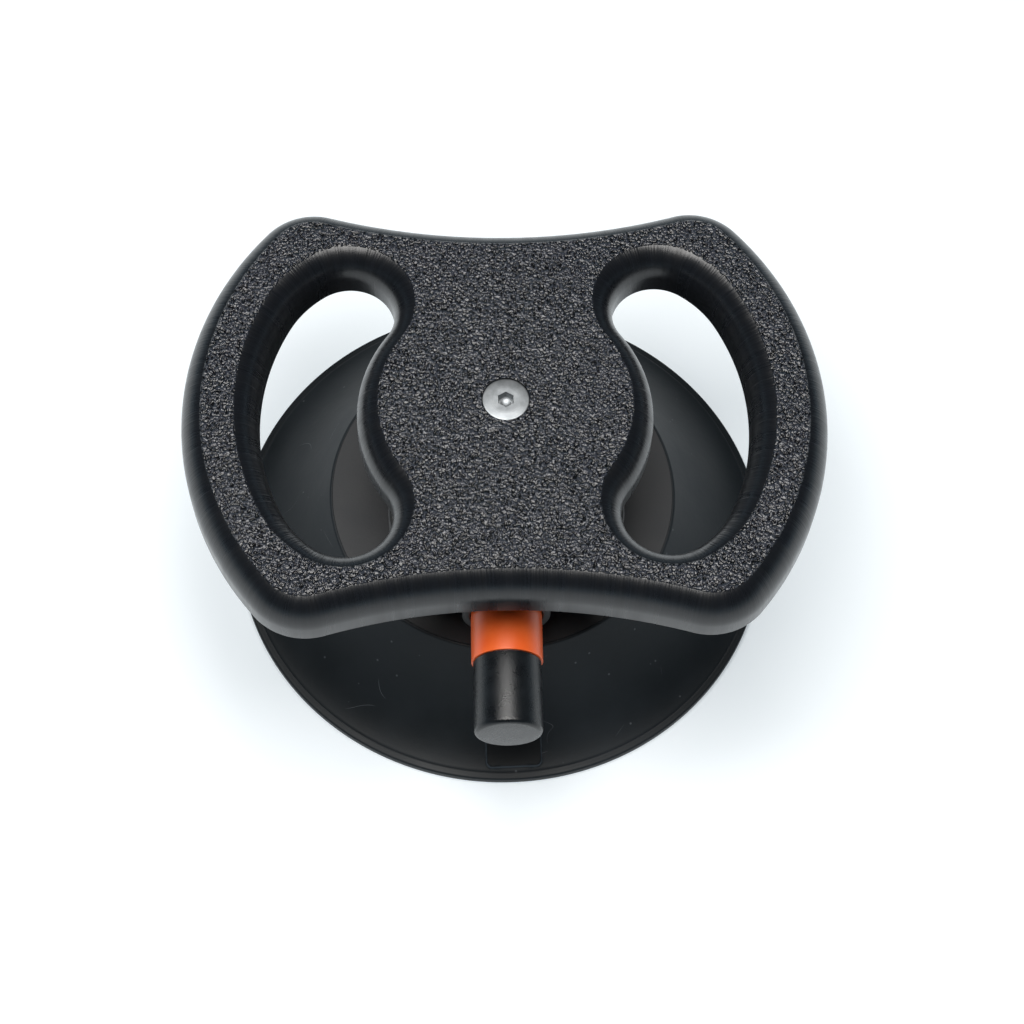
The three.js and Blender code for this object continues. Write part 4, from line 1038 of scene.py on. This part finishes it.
def housing_mesh():
    block_low = (body_low.x, body_low.y + BOSS_LENGTH, body_low.z)
    block = rounded_block(block_low, body_high, BODY_CORNER, BODY_ROUND)
    front, rear, boss = -body_low.y, -body_high.y, BORE + BOSS_WALL
    nose = rounded([(0, 0), (boss, 0), (boss, front), (0, front)], [0, 0, 1.2, 0])
    groove_rear, groove_front, _ = pump_extent("end_plug_circlip")
    insert_low, insert_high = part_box("threaded_insert")
    grub_low, grub_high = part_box("barrel_grub_screw")
    above, below, bottom = body_high.z + PAST, body_low.z - PAST, body_low.z
    taken = [
        along_pump(rod(BORE, rear - PAST, front + PAST, count=128)),
        along_pump(rod(BORE + GROOVE_DEPTH, groove_rear - FIT, groove_front + FIT, count=128)),
        rod(insert_high.x + FIT, insert_low.z - FIT, above),
        rod(GRUB_HOLE, AXIS_Z, above, (0, (grub_low.y + grub_high.y) / 2), 48),
        rod(INLET_POCKET, below, bottom + INLET_POCKET_DEPTH, (0, INLET_Y)),
        rod(INLET_BORE, below, AXIS_Z, (0, INLET_Y), 48),
        *[rod(CLAMP_HOLE, below, bottom + CLAMP_HOLE_DEPTH, place, 40) for place in SCREW_PLACES],
    ]
    return carved("housing", [block], [along_pump(lathe(nose))], taken)


piece("pump_housing_block", housing_mesh(), housing_nylon, "housing", ["pump_body"])

# %% [markdown]
# ## The rear of the pump and the air inlet
#
# A plug with a screwdriver slot closes the barrel, held by an internal circlip
# with two eyes for pliers. Under the cup a felt filter covers the air hole.

# %% End plug and circlip
PLUG_HEAD, PLUG_GROOVE_RADIUS, PLUG_GROOVE = 6.2 * MM, 12.35 * MM, (4.2 * MM, 2 * MM)
SLOT_LENGTH, SLOT_DEPTH, SLOT_WIDTH = 16 * MM, 2 * MM, 3 * MM
CLIP_OPENING, CLIP_WIDTH, CLIP_TAPER = 4.6 * MM, 2.6 * MM, 0.6 * MM
EYE_SWELL, EYE_INSET, EYE_TURN, EYE_RADIUS = 2.2 * MM, 2.9 * MM, 0.15, 0.9 * MM


def end_plug():
    """A stepped plug with a groove for its seal and a slot for a screwdriver."""
    rear, front, outer = pump_extent("barrel_end_plug")
    shoulder, spigot, groove = rear + PLUG_HEAD, SPIGOT_RADIUS, PLUG_GROOVE_RADIUS
    groove_rear, groove_front = (front - way for way in PLUG_GROOVE)
    profile = rounded(
        [(0, rear), (outer, rear), (outer, shoulder), (spigot, shoulder), (spigot, groove_rear),
         (groove, groove_rear), (groove, groove_front), (spigot, groove_front), (spigot, front), (0, front)],
        [0, 0.6, 0.2, *[0.1] * 5, 0.4, 0])
    corner = np.array([SLOT_LENGTH / 2, SLOT_DEPTH, SLOT_WIDTH / 2])
    slot = rounded_block([0, rear, 0] - corner, [0, rear, 0] + corner, 0.4 * MM, 0.2 * MM)
    return carved("end_plug", [along_pump(lathe(profile))], taken=[along_pump(slot[..., [0, 2, 1]])])


piece("rear_plug", end_plug(), housing_nylon, "housing", ["barrel_end_plug"])


def circlip():
    """A strip bent round from one side of its opening to the other. Its inner
    edge swells inwards near both ends to make the eyes."""
    rear, front, outer = pump_extent("end_plug_circlip")
    half_gap = np.arcsin(CLIP_OPENING / outer)
    a = np.linspace(-np.pi / 2 + half_gap, 1.5 * np.pi - half_gap, 181)
    from_end = np.minimum(a - a[0], a[-1] - a)
    eye = EYE_SWELL * np.clip(1 - (from_end / 0.2 - 0.75) ** 2, 0, 1)
    inner = outer - CLIP_WIDTH - eye - CLIP_TAPER * (1 - np.exp(-from_end))
    outside = np.full_like(a, outer)
    section_r = np.stack([outside, outside, inner, inner, outside])
    section_z = np.repeat(np.array([[rear], [front], [front], [rear], [rear]]), len(a), axis=1)
    rows = np.stack([section_r * np.cos(a), section_r * np.sin(a), section_z], axis=2)
    ends = [np.stack([rows[[0, 3], i], rows[[1, 2], i]]) for i in (0, -1)]
    reach = outer - EYE_INSET
    eyes = [rod(EYE_RADIUS, rear - PAST, front + PAST, (reach * np.cos(t), reach * np.sin(t)), 24)
            for t in (a[0] + EYE_TURN, a[-1] - EYE_TURN)]
    return carved("circlip", [along_pump(g) for g in [rows, *ends]], taken=[along_pump(e) for e in eyes])


piece("circlip_with_eyes", circlip(), spring_wire, "housing", ["end_plug_circlip"])

# %% Felt filter
filter_low, filter_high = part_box("inlet_filter")
felt_profile = rounded(
    [(0, filter_low.z), (filter_high.x, filter_low.z), (filter_high.x, filter_high.z), (0, filter_high.z)],
    [0, 0.6, 0.3, 0])
piece("felt_filter", [lathe(felt_profile, (0, INLET_Y), 96)], wool_felt, "housing", ["inlet_filter"])

# %% [markdown]
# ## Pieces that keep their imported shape
#
# The seals, valves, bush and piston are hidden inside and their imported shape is
# right, so they only get their finish.

# %% Finishes for the inner pieces
INNER = {
    insert_brass: ["threaded_insert"],
    black_oxide: ["barrel_grub_screw"],
    natural_acetal: ["inlet_valve_seat", "guide_bush", "piston", "exhaust_spring_retainer"],
    seal_rubber: ["inlet_valve_disc", "base_oring", "plunger_wiper", "end_plug_oring", "piston_seal",
                  "exhaust_valve_disc"],
}
for finish, nodes in INNER.items():
    for node in nodes:
        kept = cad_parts[node]
        kept.data.materials.clear()
        kept.data.materials.append(finish)
left = [n for n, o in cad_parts.items() if not o.hide_render]
print("packed shapes that show:", len(left), "of", len(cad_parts))

# %% [markdown]
# ## Floor, light and camera
#
# The floor is a plain pale sheet of opal acrylic, lit a little from below, which
# is how product pictures get a floor without hard shadows. One wide softbox
# hangs above and to the left, and a white cove runs round the horizon.

# %% A plain pale floor
FLOOR_GAP = 0.3 * MM  # keeps the floor clear of the cup's rim
FLOOR_REACH = 6.0


def pale_floor():
    paint, tree, shader = new_finish("pale_lit_acrylic", {
        "IOR": 1.49, "Roughness": 0.9, "Emission Color": linear("#e6f1f8"), "Emission Strength": 0.42,
    })
    mottle = noise(tree, object_place(tree), 0.5, 2.0)
    link(ramp(tree, mottle, [(0.3, "#cdd2d5"), (0.7, "#d2d6d9")]), shader, "Base Color")
    corners = [(x * FLOOR_REACH, y * FLOOR_REACH, 0) for x, y in [(-1, -1), (1, -1), (1, 1), (-1, 1)]]
    mesh = bpy.data.meshes.new("studio_floor")
    mesh.from_pydata(corners, [], [(0, 1, 2, 3)])
    mesh.materials.append(paint)
    floor = bpy.data.objects.new("studio_floor", mesh)
    bpy.context.scene.collection.objects.link(floor)
    floor.location.z = -FLOOR_GAP


pale_floor()


# %% Softbox and white cove
def softbox(name, place, aim, width, height, power, colour):
    lamp = bpy.data.lights.new(name, "AREA")
    lamp.shape = "RECTANGLE"
    lamp.size, lamp.size_y = width, height
    lamp.energy = power
    lamp.color = linear(colour)[:3]
    box = bpy.data.objects.new(name, lamp)
    box.location = place
    box.rotation_euler = (Vector(aim) - Vector(place)).to_track_quat("-Z", "Y").to_euler()
    bpy.context.scene.collection.objects.link(box)


softbox("overhead_softbox", (-0.12, -0.05, 1.5), (0, 0, 0.1), 1.1, 1.1, 32, "#fffdfa")


def white_cove():
    """The room: bright near the horizon, where white paper curves up, and dark
    above it, so that only the softbox shines from on top."""
    world = bpy.data.worlds.new("white_cove")
    world.use_nodes = True
    tree = world.node_tree
    toward = add(tree, "ShaderNodeTexCoord").outputs["Generated"]
    height = add(tree, "ShaderNodeSeparateXYZ", [(0, toward)]).outputs["Z"]
    glow = ramp(tree, height, [(0.0, "#b4cbd9"), (0.08, "#8ea5b3"), (0.22, "#1c2126"), (0.6, "#0b0d0f")])
    tree.links.new(glow, tree.nodes["Background"].inputs["Color"])
    bpy.context.scene.world = world


white_cove()
bpy.context.scene.view_settings.view_transform = "Standard"

# %% The camera
def camera():
    """Looks down at the plate from the front, a little from the left, and leans
    slightly, with a lens of about 75 mm."""
    pitch, yaw, lean = np.radians([63.22, 3.42, 2.61])
    forward = np.array([np.sin(yaw) * np.cos(pitch), np.cos(yaw) * np.cos(pitch), -np.sin(pitch)])
    level = np.array([np.cos(yaw), -np.sin(yaw), 0])
    upward = np.cross(level, forward)
    right = level * np.cos(lean) + upward * np.sin(lean)
    up = upward * np.cos(lean) - level * np.sin(lean)
    view = bpy.data.objects.new("camera", bpy.data.cameras.new("camera"))
    view.matrix_world = Matrix(np.column_stack([right, up, -forward]).tolist()).to_4x4()
    view.location = (-18.05 * MM, -367.23 * MM, 749.27 * MM)
    view.data.lens = 75.1
    bpy.context.scene.collection.objects.link(view)
    bpy.context.scene.camera = view


camera()
